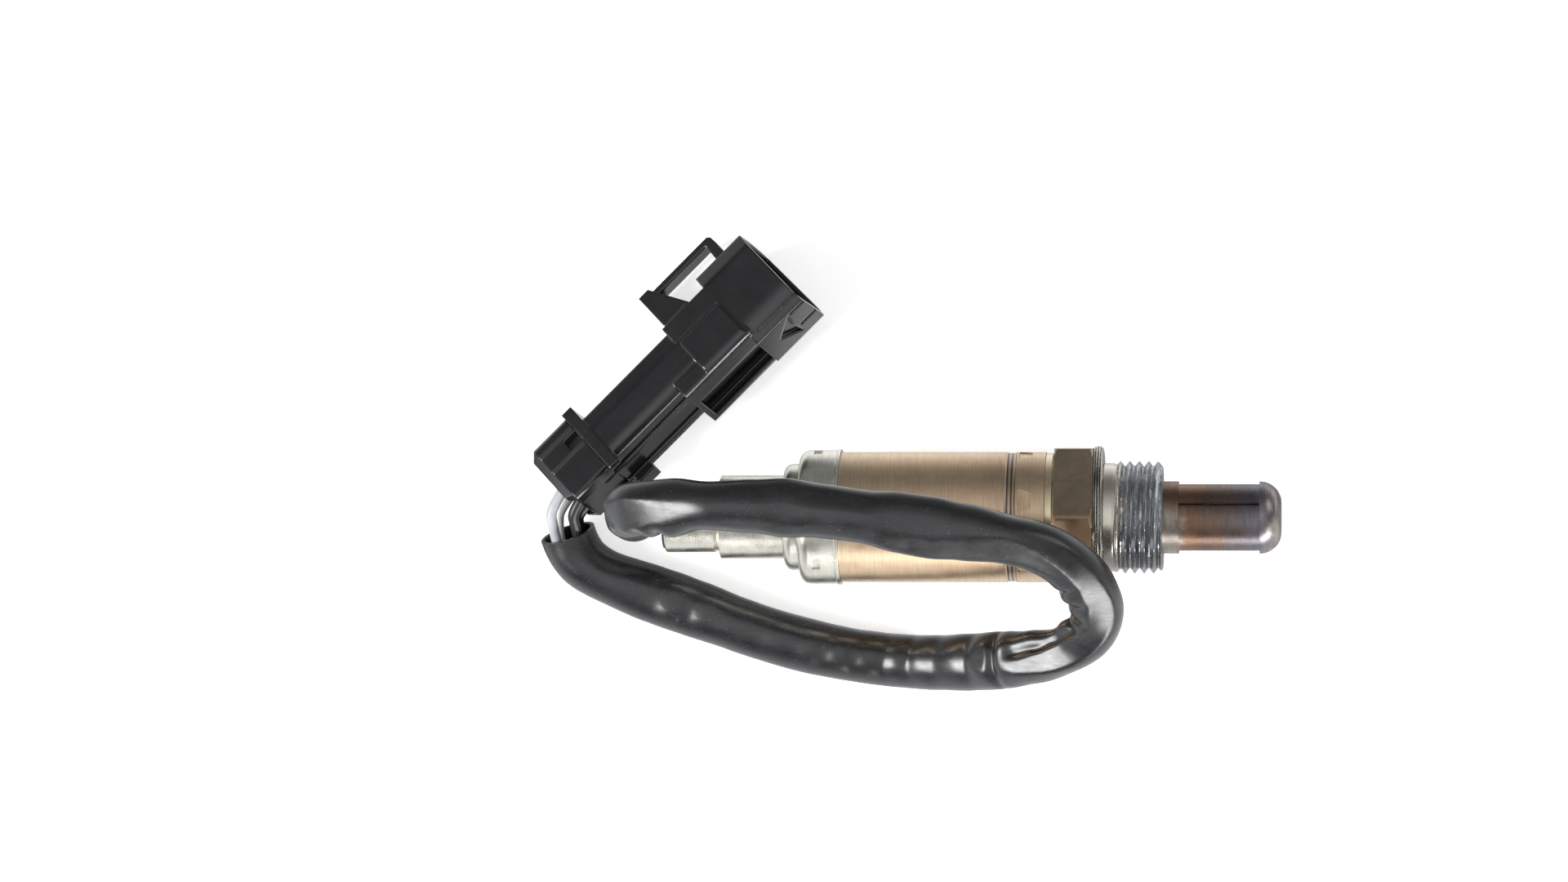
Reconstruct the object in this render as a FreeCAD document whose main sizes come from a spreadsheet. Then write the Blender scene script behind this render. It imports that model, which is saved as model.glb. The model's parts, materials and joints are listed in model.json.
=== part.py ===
import FreeCAD, Part
import math
import os
import Sketcher

# Oxygen sensor with four leads in a protective sleeve and a plug, in millimetres.
# X runs along the sensor's axis towards its sensing tip, Z is up, and the origin lies
# on the axis at the sealing face of the gasket. The sensor lies on one corner of its hexagon.

os.makedirs("parts", exist_ok=True)
doc = FreeCAD.newDocument("OxygenSensor")
V = FreeCAD.Vector
sheet = doc.addObject("Spreadsheet::Sheet", "Sizes")

SIZES = (
    # threaded shell
    ("thread_radius", 9.0), ("thread_length", 9.4), ("thread_chamfer", 0.6),
    ("undercut_radius", 8.2), ("hex_across_flats", 22.0), ("hex_length", 6.13),
    ("hex_bevel", 0.7), ("collar_radius", 10.2), ("collar_length", 1.45),
    ("shell_neck_length", 6.05), ("shell_bore_radius", 7.3), ("element_seat_depth", 0.8),
    ("passage_radius", 4.3), ("roll_lip_length", 0.8), ("fit_clearance", 0.05),
    # gasket
    ("gasket_width", 3.0), ("gasket_thickness", 1.57), ("gasket_slit", 0.3),
    ("gasket_bore_clearance", 0.3),
    # protection tube
    ("tube_radius", 5.75), ("tube_wall", 0.5), ("tube_flange_radius", 6.9),
    ("tube_flange_thickness", 0.6), ("tube_tip", 28.2), ("dome_radius", 3.5),
    ("louvre_start", 11.9), ("louvre_sink", 0.75), ("louvre_angle", 25.6),
    # element, heater and seal
    ("element_flange_radius", 6.25), ("element_flange_length", 3.0),
    ("element_rear_radius", 4.35), ("element_rear_length", 10.0),
    ("element_front_radius", 3.4), ("element_tip_radius", 3.0), ("element_tip", 24.6),
    ("element_bore_radius", 2.3), ("element_end_wall", 1.4),
    ("heater_radius", 1.5), ("heater_rear", 22.0), ("powder_length", 3.0),
    ("bush_length", 11.0), ("bush_bore_radius", 5.0), ("bush_nose_length", 2.0),
    # contacts and holder
    ("holder_length", 29.3), ("holder_radius", 8.0), ("holder_flange_clearance", 0.1),
    ("holder_flange_length", 2.0), ("holder_mouth_radius", 3.2), ("holder_mouth_depth", 5.0),
    ("holder_pocket_radius", 4.6), ("holder_pocket_depth", 5.8), ("strip_width", 1.2),
    ("strip_thickness", 0.4), ("strip_hole_radius", 1.0), ("ferrule_length", 4.8),
    ("ferrule_wall", 0.4), ("spring_thickness", 0.7),
    # outer sleeve
    ("sleeve_radius", 10.4), ("sleeve_wall", 0.6), ("sleeve_length", 32.7),
    ("sleeve_tail_length", 5.8), ("sleeve_tail_drop", 0.35), ("band_width", 1.6),
    ("band_offset", 4.65), ("band_depth", 0.14), ("dent_offset", 3.15), ("dent_depth", 0.38),
    ("dent_length", 2.1), ("dent_width", 4.0), ("dent_angle", 16.0),
    # rear sleeve and grommet
    ("cap_proud", 0.3), ("lip_proud", 0.45), ("lip_length", 0.5), ("cap_length", 6.6),
    ("cap_edge", 1.7), ("step_radius", 8.5), ("step_length", 2.5), ("neck_radius", 6.65),
    ("neck_length", 10.2), ("crimp_width", 1.0), ("crimp_depth", 1.35),
    ("tail_radius", 5.65), ("tail_length", 8.0), ("rear_wall", 0.6), ("rear_dent_length", 1.3),
    ("rear_dent_width", 2.4), ("grommet_proud", 0.3),
    # leads and their sleeve
    ("wire_diameter", 1.7), ("wire_pitch", 3.6), ("wire_roll", 0.0),
    ("exit_bend_radius", 4.0), ("sheath_diameter", 8.6), ("sheath_wall", 0.6),
    ("sheath_start_height", 6.0),
    # plug
    ("plug_angle", 45.0), ("plug_roll", 25.0), ("plug_x", -86.8), ("plug_y", 3.5),
    ("plug_z", -3.85), ("plug_wire_pitch", 3.6), ("plug_wire_drop", 0.75),
    ("body_height", 9.1), ("body_width", 12.4), ("body_length", 28.7), ("body_start", 10.7),
    ("body_top_taper", 2.85), ("body_top_depth", 0.8), ("body_foot_taper", 1.25),
    ("body_foot_depth", 1.2), ("flange_tab", 1.35),
    ("flange_length", 2.0), ("flange_top", 7.3), ("flange_side", 0.15),
    ("shroud_top", 8.3), ("shroud_bottom", 7.95), ("shroud_length", 10.6), ("shroud_wall", 1.2),
    ("shroud_top_taper", 2.85), ("shroud_top_depth", 1.3), ("shroud_foot_taper", 2.95),
    ("shroud_foot_depth", 1.9), ("mouth_slant", 0.4), ("mouth_lean", 0.7), ("cavity_depth", 23.0),
    ("cap_bottom", 4.4), ("cap_top", 7.07), ("cap_wall", 1.1), ("cap_chamfer", 1.4), ("cap_belly", 0.9),
    ("cap_recess", 2.5), ("spigot_length", 3.2), ("seal_radius", 1.2), ("seal_length", 3.5),
    ("barrel_wall", 0.25), ("barrel_length", 4.0), ("box_offset", 2.5),
    ("box_side", 1.9), ("box_length", 7.0), ("blade_width", 1.5), ("blade_thickness", 0.64),
    ("blade_length", 16.7), ("rail_overlap", 0.8), ("rail_length", 14.9), ("rail_height", 1.95),
    ("rail_lip", 0.8), ("slot_width", 7.9), ("slot_mouth", 6.9), ("slot_shift", -1.75),
    ("slot_offset", 1.0), ("block_height", 0.6),
    ("latch_arm_height", 14.5), ("latch_arm_thickness", 1.1), ("latch_arm_width", 2.6),
    ("latch_pad_width", 6.0), ("latch_pad_height", 14.4), ("latch_pad_bottom", 7.2),
    ("latch_setback", 4.4), ("latch_length", 15.2), ("latch_leg", 1.6), ("mark_setback", 4.0),
    ("foot_length", 3.5), ("foot_drop", 1.7), ("foot_width", 3.2),
)
for row, (name, number) in enumerate(SIZES, 1):
    sheet.set("A%d" % row, name)
    sheet.set("B%d" % row, repr(number))
    sheet.setAlias("B%d" % row, name)
doc.recompute()


class Size:
    """A number that keeps the spreadsheet formula it was worked out with."""

    def __init__(self, value, text=None):
        self.value = float(value)
        self.text = text if text else "(%r)" % float(value)

    def join(self, sign, other, value):
        return Size(value, "(%s %s %s)" % (self.text, sign, other.text))

    def __add__(self, other):
        other = to_size(other)
        return self.join("+", other, self.value + other.value)

    def __sub__(self, other):
        other = to_size(other)
        return self.join("-", other, self.value - other.value)

    def __mul__(self, other):
        other = to_size(other)
        return self.join("*", other, self.value * other.value)

    def __truediv__(self, other):
        other = to_size(other)
        return self.join("/", other, self.value / other.value)

    def __radd__(self, other):
        return to_size(other) + self

    def __rsub__(self, other):
        return to_size(other) - self

    def __rmul__(self, other):
        return to_size(other) * self

    def __neg__(self):
        return Size(-self.value, "(-1 * %s)" % self.text)


def to_size(number):
    return number if isinstance(number, Size) else Size(number)


class Table:
    """Gives each named size of the spreadsheet as an attribute."""

    def __getattr__(self, name):
        return Size(sheet.get(name), "Sizes." + name)


s = Table()


def origin_part(body, role):
    for feature in body.Origin.OriginFeatures:
        if feature.Role == role:
            return feature
    raise ValueError(role)


def new_body(label):
    body = doc.addObject("PartDesign::Body", label)
    body.Label = label
    return body


def new_sketch(body, role, offset=None):
    sketch = body.newObject("Sketcher::SketchObject", body.Label + "_sketch")
    sketch.AttachmentSupport = [(origin_part(body, role), "")]
    sketch.MapMode = "FlatFace"
    if offset is not None:
        offset = to_size(offset)
        sketch.AttachmentOffset = FreeCAD.Placement(V(0, 0, offset.value), FreeCAD.Rotation())
        sketch.setExpression("AttachmentOffset.Base.z", offset.text)
    return sketch


def pin_point(sketch, geometry, corner, x, y):
    for kind, size, axis in (("DistanceX", to_size(x), -2), ("DistanceY", to_size(y), -1)):
        if abs(size.value) < 1e-9:
            sketch.addConstraint(Sketcher.Constraint("PointOnObject", geometry, corner, axis))
        else:
            number = sketch.addConstraint(
                Sketcher.Constraint(kind, -1, 1, geometry, corner, size.value))
            sketch.setExpression("Constraints[%d]" % number, size.text)


def draw_outline(sketch, points):
    points = [(to_size(x), to_size(y)) for x, y in points]
    first = sketch.GeometryCount
    count = len(points)
    for i, (x, y) in enumerate(points):
        nx, ny = points[(i + 1) % count]
        sketch.addGeometry(Part.LineSegment(V(x.value, y.value, 0), V(nx.value, ny.value, 0)), False)
    for i in range(count):
        sketch.addConstraint(
            Sketcher.Constraint("Coincident", first + i, 2, first + (i + 1) % count, 1))
    for i, (x, y) in enumerate(points):
        pin_point(sketch, first + i, 1, x, y)
    return sketch


def draw_circle(sketch, x, y, radius):
    x, y, radius = to_size(x), to_size(y), to_size(radius)
    number = sketch.addGeometry(
        Part.Circle(V(x.value, y.value, 0), V(0, 0, 1), radius.value), False)
    pin_point(sketch, number, 3, x, y)
    limit = sketch.addConstraint(Sketcher.Constraint("Radius", number, radius.value))
    sketch.setExpression("Constraints[%d]" % limit, radius.text)
    return sketch


def rectangle(x0, x1, y0, y1):
    return ((x0, y0), (x1, y0), (x1, y1), (x0, y1))


def revolve(body, points, role="XY_Plane", angle=360.0):
    sketch = draw_outline(new_sketch(body, role), points)
    feature = body.newObject("PartDesign::Revolution", body.Label + "_turned")
    feature.Profile = sketch
    feature.ReferenceAxis = (sketch, ["H_Axis"])
    feature.Angle = angle
    if angle < 360.0:
        feature.Midplane = True
    doc.recompute()
    return feature


def groove(body, points, role="XY_Plane"):
    sketch = draw_outline(new_sketch(body, role), points)
    feature = body.newObject("PartDesign::Groove", body.Label + "_groove")
    feature.Profile = sketch
    feature.ReferenceAxis = (sketch, ["H_Axis"])
    feature.Angle = 360.0
    doc.recompute()
    return feature


def pad(body, sketch, length, reverse=False, middle=False):
    length = to_size(length)
    feature = body.newObject("PartDesign::Pad", body.Label + "_pad")
    feature.Profile = sketch
    feature.Length = length.value
    feature.setExpression("Length", length.text)
    feature.Reversed = reverse
    feature.Midplane = middle
    doc.recompute()
    return feature


def pocket(body, sketch, length, reverse=False, middle=False):
    length = to_size(length)
    before = body.Shape.Volume
    feature = body.newObject("PartDesign::Pocket", body.Label + "_pocket")
    feature.Profile = sketch
    feature.Length = length.value
    feature.setExpression("Length", length.text)
    feature.Reversed = reverse
    feature.Midplane = middle
    doc.recompute()
    if body.Shape.Volume >= before - 1e-6:
        raise ValueError("pocket cuts nothing: " + feature.Name)
    return feature


def block(body, x0, x1, y0, y1, z0, z1):
    """Pad a box between two values on each local axis."""
    sketch = draw_outline(new_sketch(body, "YZ_Plane", x0), rectangle(y0, y1, z0, z1))
    return pad(body, sketch, to_size(x1) - x0)


def hollow(body, x0, x1, y0, y1, z0, z1):
    """Cut a box between two values on each local axis."""
    sketch = draw_outline(new_sketch(body, "YZ_Plane", x0), rectangle(y0, y1, z0, z1))
    return pocket(body, sketch, to_size(x1) - x0, reverse=True)


def round_hole(body, x0, x1, centres, radius):
    sketch = new_sketch(body, "YZ_Plane", x0)
    for y, z in centres:
        draw_circle(sketch, y, z, radius)
    return pocket(body, sketch, to_size(x1) - x0, reverse=True)


def dress(body, kind, test, amount):
    """Fillet or chamfer the edges of the body that the test picks."""
    tip = body.Tip
    names = ["Edge%d" % i for i, edge in enumerate(tip.Shape.Edges, 1) if test(edge)]
    if not names:
        raise ValueError("no edge picked on " + body.Label)
    feature = body.newObject("PartDesign::" + kind, body.Label + "_" + kind.lower())
    feature.Base = (tip, names)
    amount = to_size(amount)
    prop = "Radius" if kind == "Fillet" else "Size"
    setattr(feature, prop, amount.value)
    feature.setExpression(prop, amount.text)
    body.Tip = feature
    doc.recompute()
    return feature


def ring_edge(x, radius):
    x, radius = to_size(x).value, to_size(radius).value

    def test(edge):
        curve = edge.Curve
        return (isinstance(curve, Part.Circle) and abs(curve.Radius - radius) < 1e-4
                and abs(curve.Center.x - x) < 1e-4)
    return test


def around(body, feature, copies):
    pattern = body.newObject("PartDesign::PolarPattern", body.Label + "_ring")
    pattern.Originals = [feature]
    pattern.Axis = (origin_part(body, "X_Axis"), [""])
    pattern.Angle = 360.0
    pattern.Occurrences = copies
    body.Tip = pattern
    doc.recompute()
    return pattern


def turn_about_axis(body, angle):
    """Turn a body about the sensor's axis, from up towards the left seen from the tip."""
    body.Placement = FreeCAD.Placement(V(0, 0, 0), FreeCAD.Rotation(V(1, 0, 0), -to_size(angle).value))


# Stations along the sensor's axis
hex_front = -s.gasket_thickness
hex_rear = hex_front - s.hex_length
collar_rear = hex_rear - s.collar_length
shell_rear = collar_rear - s.shell_neck_length
seat = s.element_seat_depth
flange_front = s.thread_length - s.roll_lip_length
flange_rear = flange_front - s.tube_flange_thickness
sleeve_bore = s.sleeve_radius - s.sleeve_wall
powder_front = -s.element_flange_length
bush_front = powder_front - s.powder_length
bush_rear = bush_front - s.bush_length
holder_rear = bush_rear - s.holder_length
sleeve_step = collar_rear - s.sleeve_length
sleeve_rear = sleeve_step - s.sleeve_tail_length
lip_front = sleeve_step - s.fit_clearance
lip_rear = lip_front - s.lip_length
cap_rear = lip_front - s.cap_length
cap_radius = s.sleeve_radius + s.cap_proud
lip_radius = s.sleeve_radius + s.lip_proud
holder_flange_radius = sleeve_bore - s.holder_flange_clearance

# Threaded shell with its hexagon, made in one piece
shell = new_body("sensor_shell")
corner_radius = s.hex_across_flats / math.sqrt(3.0)
revolve(shell, (
    (shell_rear, s.shell_bore_radius), (shell_rear, sleeve_bore - s.fit_clearance),
    (collar_rear, sleeve_bore - s.fit_clearance), (collar_rear, s.collar_radius),
    (hex_rear, s.collar_radius), (hex_rear, corner_radius), (hex_front, corner_radius),
    (hex_front, s.undercut_radius), (0, s.undercut_radius), (0, s.thread_radius),
    (s.thread_length - s.thread_chamfer, s.thread_radius),
    (s.thread_length, s.thread_radius - s.thread_chamfer),
    (s.thread_length, s.tube_radius + s.fit_clearance),
    (flange_front, s.tube_radius + s.fit_clearance),
    (flange_front, s.tube_flange_radius + s.fit_clearance),
    (flange_rear, s.tube_flange_radius + s.fit_clearance),
    (flange_rear, s.passage_radius), (seat, s.passage_radius),
    (seat, s.element_flange_radius + s.fit_clearance),
    (powder_front, s.element_flange_radius + s.fit_clearance),
    (powder_front, s.shell_bore_radius)))
flats = new_sketch(shell, "YZ_Plane", hex_front)
draw_circle(flats, 0, 0, corner_radius + 1.0)
half_flat = corner_radius / 2.0
draw_outline(flats, (
    (0, corner_radius), (s.hex_across_flats / 2.0, half_flat),
    (s.hex_across_flats / 2.0, -half_flat), (0, -corner_radius),
    (-s.hex_across_flats / 2.0, -half_flat), (-s.hex_across_flats / 2.0, half_flat)))
pocket(shell, flats, s.hex_length)
bevel_depth = s.hex_bevel
for face, side in ((hex_front, -1.0), (hex_rear, 1.0)):
    groove(shell, (
        (face, corner_radius - 1.25), (face, corner_radius + 0.5),
        (face + side * bevel_depth * 1.4, corner_radius + 0.5)))

# Folded crush gasket, captive between the hexagon and the thread
gasket = new_body("gasket_ring")
gasket_bore = s.undercut_radius + s.gasket_bore_clearance
gasket_radius = gasket_bore + s.gasket_width
fold = gasket_radius - s.gasket_thickness / 2.0
middle = hex_front / 2.0
revolve(gasket, (
    (hex_front, gasket_bore), (hex_front, gasket_radius), (0, gasket_radius), (0, gasket_bore),
    (middle + s.gasket_slit / 2.0, gasket_bore), (middle + s.gasket_slit / 2.0, fold),
    (middle - s.gasket_slit / 2.0, fold), (middle - s.gasket_slit / 2.0, gasket_bore)))
dress(gasket, "Fillet", lambda e: ring_edge(0, gasket_radius)(e)
      or ring_edge(hex_front, gasket_radius)(e), s.gasket_thickness * 0.42)
dress(gasket, "Fillet", lambda e: ring_edge(0, gasket_bore)(e)
      or ring_edge(hex_front, gasket_bore)(e), (s.gasket_thickness - s.gasket_slit) * 0.43)

# Protection tube: plain foot with a flange, four curved louvres and a domed end
tube = new_body("protection_tube")
tube_bore = s.tube_radius - s.tube_wall
louvre_end = s.tube_tip - s.dome_radius
revolve(tube, (
    (flange_rear, tube_bore), (flange_rear, s.tube_flange_radius),
    (flange_front, s.tube_flange_radius), (flange_front, s.tube_radius),
    (s.louvre_start, s.tube_radius), (s.louvre_start, tube_bore)))
louvres = new_sketch(tube, "YZ_Plane", s.louvre_start)
sunk = s.tube_radius.value - s.louvre_sink.value
wall = s.tube_wall.value
for quarter in range(4):
    start = math.radians(s.louvre_angle.value + 90.0 * quarter)

    def at(angle, radius):
        return V(radius * math.sin(start - angle), radius * math.cos(start - angle), 0)
    quarter_turn = math.pi / 2.0
    rise = sunk + 0.62 * s.louvre_sink.value
    outer = (at(0, sunk), at(quarter_turn / 2.0, rise), at(quarter_turn, s.tube_radius.value))
    inner = (at(0, sunk - wall), at(quarter_turn / 2.0, rise - wall),
             at(quarter_turn, s.tube_radius.value - wall))
    louvres.addGeometry(Part.Arc(*outer), False)
    louvres.addGeometry(Part.LineSegment(outer[2], inner[2]), False)
    louvres.addGeometry(Part.Arc(*inner), False)
    louvres.addGeometry(Part.LineSegment(inner[0], outer[0]), False)
pad(tube, louvres, louvre_end - s.louvre_start)
revolve(tube, (
    (louvre_end, s.tube_radius), (s.tube_tip, s.tube_radius), (s.tube_tip, 0),
    (s.tube_tip - s.tube_wall, 0), (s.tube_tip - s.tube_wall, tube_bore),
    (louvre_end, tube_bore)))
dress(tube, "Fillet", ring_edge(s.tube_tip, s.tube_radius), s.dome_radius * 0.98)
dress(tube, "Fillet", ring_edge(s.tube_tip - s.tube_wall, tube_bore),
      (s.dome_radius - s.tube_wall) * 0.98)

# Zirconia thimble with the flange that seats it in the shell
element = new_body("zirconia_element")
element_rear = powder_front - s.element_rear_length
revolve(element, (
    (element_rear, s.element_bore_radius), (element_rear, s.element_rear_radius),
    (powder_front, s.element_rear_radius), (powder_front, s.element_flange_radius),
    (0, s.element_flange_radius), (0, s.element_front_radius + 0.5),
    (3.0, s.element_front_radius), (s.element_tip, s.element_tip_radius), (s.element_tip, 0),
    (s.element_tip - s.element_end_wall, 0),
    (s.element_tip - s.element_end_wall, s.element_bore_radius - 0.4)))
dress(element, "Fillet", ring_edge(s.element_tip, s.element_tip_radius),
      s.element_tip_radius * 0.85)

heater = new_body("heater_rod")
heater_front = s.element_tip - s.element_end_wall - 0.3
revolve(heater, ((-s.heater_rear, 0), (-s.heater_rear, s.heater_radius),
                 (heater_front, s.heater_radius), (heater_front, 0)))

seal_ring = new_body("element_seal_ring")
revolve(seal_ring, (
    (0, s.passage_radius + s.fit_clearance), (0, s.element_flange_radius),
    (seat, s.element_flange_radius), (seat, s.passage_radius + s.fit_clearance)))

powder = new_body("seal_powder_ring")
revolve(powder, (
    (bush_front, s.element_rear_radius), (bush_front, s.shell_bore_radius),
    (powder_front, s.shell_bore_radius), (powder_front, s.element_rear_radius)))

bush = new_body("ceramic_bush")
bush_radius = s.shell_bore_radius - s.fit_clearance
nose_rear = bush_front - s.bush_nose_length
revolve(bush, (
    (bush_rear, s.bush_bore_radius), (bush_rear, bush_radius), (bush_front, bush_radius),
    (bush_front, s.element_rear_radius + s.fit_clearance),
    (nose_rear, s.element_rear_radius + s.fit_clearance), (nose_rear, s.bush_bore_radius)))

# Ceramic holder of the contacts, with one hole for each strip and a pocket for the ferrules
half_pitch = s.wire_pitch / 2.0
corners = ((half_pitch, half_pitch), (-half_pitch, half_pitch),
           (-half_pitch, -half_pitch), (half_pitch, -half_pitch))
holder = new_body("contact_holder")
mouth_rear = bush_rear - s.holder_mouth_depth
pocket_front = holder_rear + s.holder_pocket_depth
revolve(holder, (
    (holder_rear, 0), (holder_rear, s.holder_radius),
    (bush_rear - s.holder_flange_length, s.holder_radius),
    (bush_rear - s.holder_flange_length, holder_flange_radius),
    (bush_rear, holder_flange_radius), (bush_rear, s.holder_mouth_radius),
    (mouth_rear, s.holder_mouth_radius), (mouth_rear, 0)))
round_hole(holder, holder_rear, pocket_front, ((0, 0),), s.holder_pocket_radius)
round_hole(holder, pocket_front, mouth_rear, corners, s.strip_hole_radius)
turn_about_axis(holder, s.wire_roll)

spring = new_body("disc_spring")
shoulder = cap_rear + s.rear_wall
spring_outer = sleeve_bore - s.sleeve_tail_drop - s.fit_clearance
revolve(spring, (
    (shoulder, spring_outer), (shoulder + s.spring_thickness, spring_outer),
    (holder_rear, s.holder_radius - 1.4), (holder_rear - s.spring_thickness, s.holder_radius - 1.4)))

# Contact strips: each is drawn above the axis and turned to its own hole
strip_radius = s.wire_pitch / math.sqrt(2.0)
strip_top = strip_radius + s.strip_thickness / 2.0
strip_bottom = strip_radius - s.strip_thickness / 2.0
ferrule_rear = pocket_front - s.ferrule_length - 0.4
wire_start = ferrule_rear + s.ferrule_length / 2.0


def contact(label, front, rear, inner, outer, hole, spread=360.0, root=None):
    body = new_body(label)
    revolve(body, ((rear, inner), (rear, outer), (front, outer), (front, inner)),
            role="XZ_Plane", angle=spread)
    low = root if root is not None else inner + 0.15
    top = outer - 0.1 if to_size(outer).value > strip_top.value else strip_top
    block(body, rear, rear + s.strip_thickness, -s.strip_width / 2.0, s.strip_width / 2.0, low, top)
    block(body, wire_start + 0.2, rear + s.strip_thickness, -s.strip_width / 2.0,
          s.strip_width / 2.0, strip_bottom, strip_top)
    turn_about_axis(body, s.wire_roll + 45.0 + 90.0 * hole)
    return body


contact("signal_contact", element_rear + 6.0, element_rear - 2.5,
        s.element_bore_radius - 0.42, s.element_bore_radius - 0.12, 1)
contact("ground_contact", element_rear + 3.5, element_rear - 1.0,
        s.element_rear_radius + s.fit_clearance, s.bush_bore_radius - s.fit_clearance, 2,
        root=strip_bottom)
for number, hole in ((1, 0), (2, 3)):
    contact("heater_contact_%d" % number, 1.8 - s.heater_rear + 3.0, 1.8 - s.heater_rear,
            s.heater_radius + s.fit_clearance, s.heater_radius + 0.35, hole, spread=80.0)

ferrule_radius = s.wire_diameter / 2.0 + s.ferrule_wall
ferrule_names = ("ferrule_black_1", "ferrule_white", "ferrule_grey", "ferrule_black_2")
for hole, label in enumerate(ferrule_names):
    ferrule = new_body(label)
    sketch = new_sketch(ferrule, "YZ_Plane", ferrule_rear)
    draw_circle(sketch, 0, strip_radius, ferrule_radius)
    draw_circle(sketch, 0, strip_radius, s.wire_diameter / 2.0)
    pad(ferrule, sketch, s.ferrule_length)
    turn_about_axis(ferrule, s.wire_roll + 45.0 + 90.0 * hole)

# Outer sleeve over the shell's neck, with a closing band and six staked dents
sleeve = new_body("outer_sleeve")
band_front = collar_rear - s.band_offset
band_rear = band_front - s.band_width
banded = s.sleeve_radius - s.band_depth
revolve(sleeve, (
    (collar_rear, sleeve_bore), (collar_rear, s.sleeve_radius), (band_front, s.sleeve_radius),
    (band_front - 0.2, banded), (band_rear + 0.2, banded), (band_rear, s.sleeve_radius),
    (sleeve_step, s.sleeve_radius), (sleeve_step, s.sleeve_radius - s.sleeve_tail_drop),
    (sleeve_rear, s.sleeve_radius - s.sleeve_tail_drop),
    (sleeve_rear, sleeve_bore - s.sleeve_tail_drop),
    (sleeve_step + 0.3, sleeve_bore - s.sleeve_tail_drop), (sleeve_step + 0.7, sleeve_bore)))
dent = new_sketch(sleeve, "XY_Plane", s.sleeve_radius - s.dent_depth)
dent_front = collar_rear - s.dent_offset + s.dent_length / 2.0
dent_rear = dent_front - s.dent_length
draw_outline(dent, (
    (dent_rear, -s.dent_width / 2.0), (dent_front, -s.dent_width * 0.36),
    (dent_front, s.dent_width * 0.36), (dent_rear, s.dent_width / 2.0)))
around(sleeve, pocket(sleeve, dent, 3.0, reverse=True), 6)
turn_about_axis(sleeve, s.dent_angle)

# Rear sleeve drawn in one piece: cap over the outer sleeve, step, neck and tail
rear = new_body("rear_sleeve")
step_rear = cap_rear - s.step_length
neck_rear = step_rear - s.neck_length
tail_front = neck_rear - s.crimp_width
crimp = neck_rear - s.crimp_width / 2.0
crimp_bottom = s.neck_radius - s.crimp_depth
tail_rear = tail_front - s.tail_length
thick = s.rear_wall
revolve(rear, (
    (lip_front, lip_radius - thick), (lip_front, lip_radius), (lip_rear, lip_radius),
    (lip_rear - 0.15, cap_radius), (cap_rear, cap_radius), (cap_rear, s.step_radius),
    (step_rear, s.step_radius), (step_rear, s.neck_radius), (neck_rear, s.neck_radius),
    (crimp, crimp_bottom), (tail_front, s.tail_radius), (tail_rear, s.tail_radius),
    (tail_rear, s.tail_radius - thick), (tail_front, s.tail_radius - thick),
    (crimp, crimp_bottom - thick), (neck_rear, s.neck_radius - thick),
    (step_rear + thick, s.neck_radius - thick), (step_rear + thick, s.step_radius - thick),
    (cap_rear + thick, s.step_radius - thick), (cap_rear + thick, cap_radius - thick),
    (lip_rear - 0.15, cap_radius - thick)))
dress(rear, "Fillet", ring_edge(cap_rear, cap_radius), s.cap_edge)
dress(rear, "Fillet", ring_edge(step_rear, s.step_radius), s.cap_edge * 0.8)
dress(rear, "Fillet", ring_edge(tail_rear, s.tail_radius), thick * 0.8)
rear_dent = new_sketch(rear, "XY_Plane", cap_radius - s.dent_depth)
dent_middle = (lip_rear + cap_rear) / 2.0
draw_outline(rear_dent, (
    (dent_middle - s.rear_dent_length / 2.0, -s.rear_dent_width / 2.0),
    (dent_middle + s.rear_dent_length / 2.0, -s.rear_dent_width / 2.0),
    (dent_middle + s.rear_dent_length / 2.0, s.rear_dent_width / 2.0),
    (dent_middle - s.rear_dent_length / 2.0, s.rear_dent_width / 2.0)))
around(rear, pocket(rear, rear_dent, 3.0, reverse=True), 6)
turn_about_axis(rear, s.dent_angle)

grommet = new_body("grommet")
gap = s.fit_clearance
grommet_rear = tail_rear - s.grommet_proud
revolve(grommet, (
    (step_rear + thick, 0), (step_rear + thick, s.neck_radius - thick - gap),
    (neck_rear, s.neck_radius - thick - gap), (crimp, crimp_bottom - thick - gap),
    (tail_front, s.tail_radius - thick - gap), (grommet_rear, s.tail_radius - thick - gap),
    (grommet_rear, 0)))
round_hole(grommet, grommet_rear, step_rear + thick, corners, s.wire_diameter / 2.0)
turn_about_axis(grommet, s.wire_roll)

# Route of the lead bundle, from the ferrules to the mouth of the sleeve at the plug
LEAD_OUT = (
    (-74.7, 0.0, 0.0), (-74.6, 0.6, 9.2))
SHEATH_ROUTE = (
    (-74.3, 1.1, 14.9), (-72.7, 1.4, 18.9), (-69.7, 1.6, 21.9), (-65.7, 1.8, 23.8),
    (-59.3, 2.1, 25.2), (-48.5, 1.9, 25.5), (-36.5, 0.5, 25.4), (-25.0, -1.4, 25.3),
    (-15.6, -2.9, 25.0), (-8.0, -5.1, 24.0), (-2.6, -9.3, 21.6), (0.0, -14.7, 17.4),
    (-1.8, -20.1, 12.3), (-6.9, -23.6, 6.9), (-14.1, -24.7, 1.3), (-22.4, -24.2, -4.2),
    (-32.0, -22.6, -8.4), (-43.6, -20.6, -8.3), (-55.2, -18.2, -8.4), (-66.4, -14.6, -8.3),
    (-75.8, -11.9, -8.4), (-82.6, -9.0, -8.3), (-85.9, -6.0, -7.6))
SHEATH_END = (-86.9, -2.7, -6.5)


def corner_turn(before, here, after):
    back = (here - before).normalize()
    ahead = (after - here).normalize()
    return back, ahead, back.getAngle(ahead)


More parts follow.
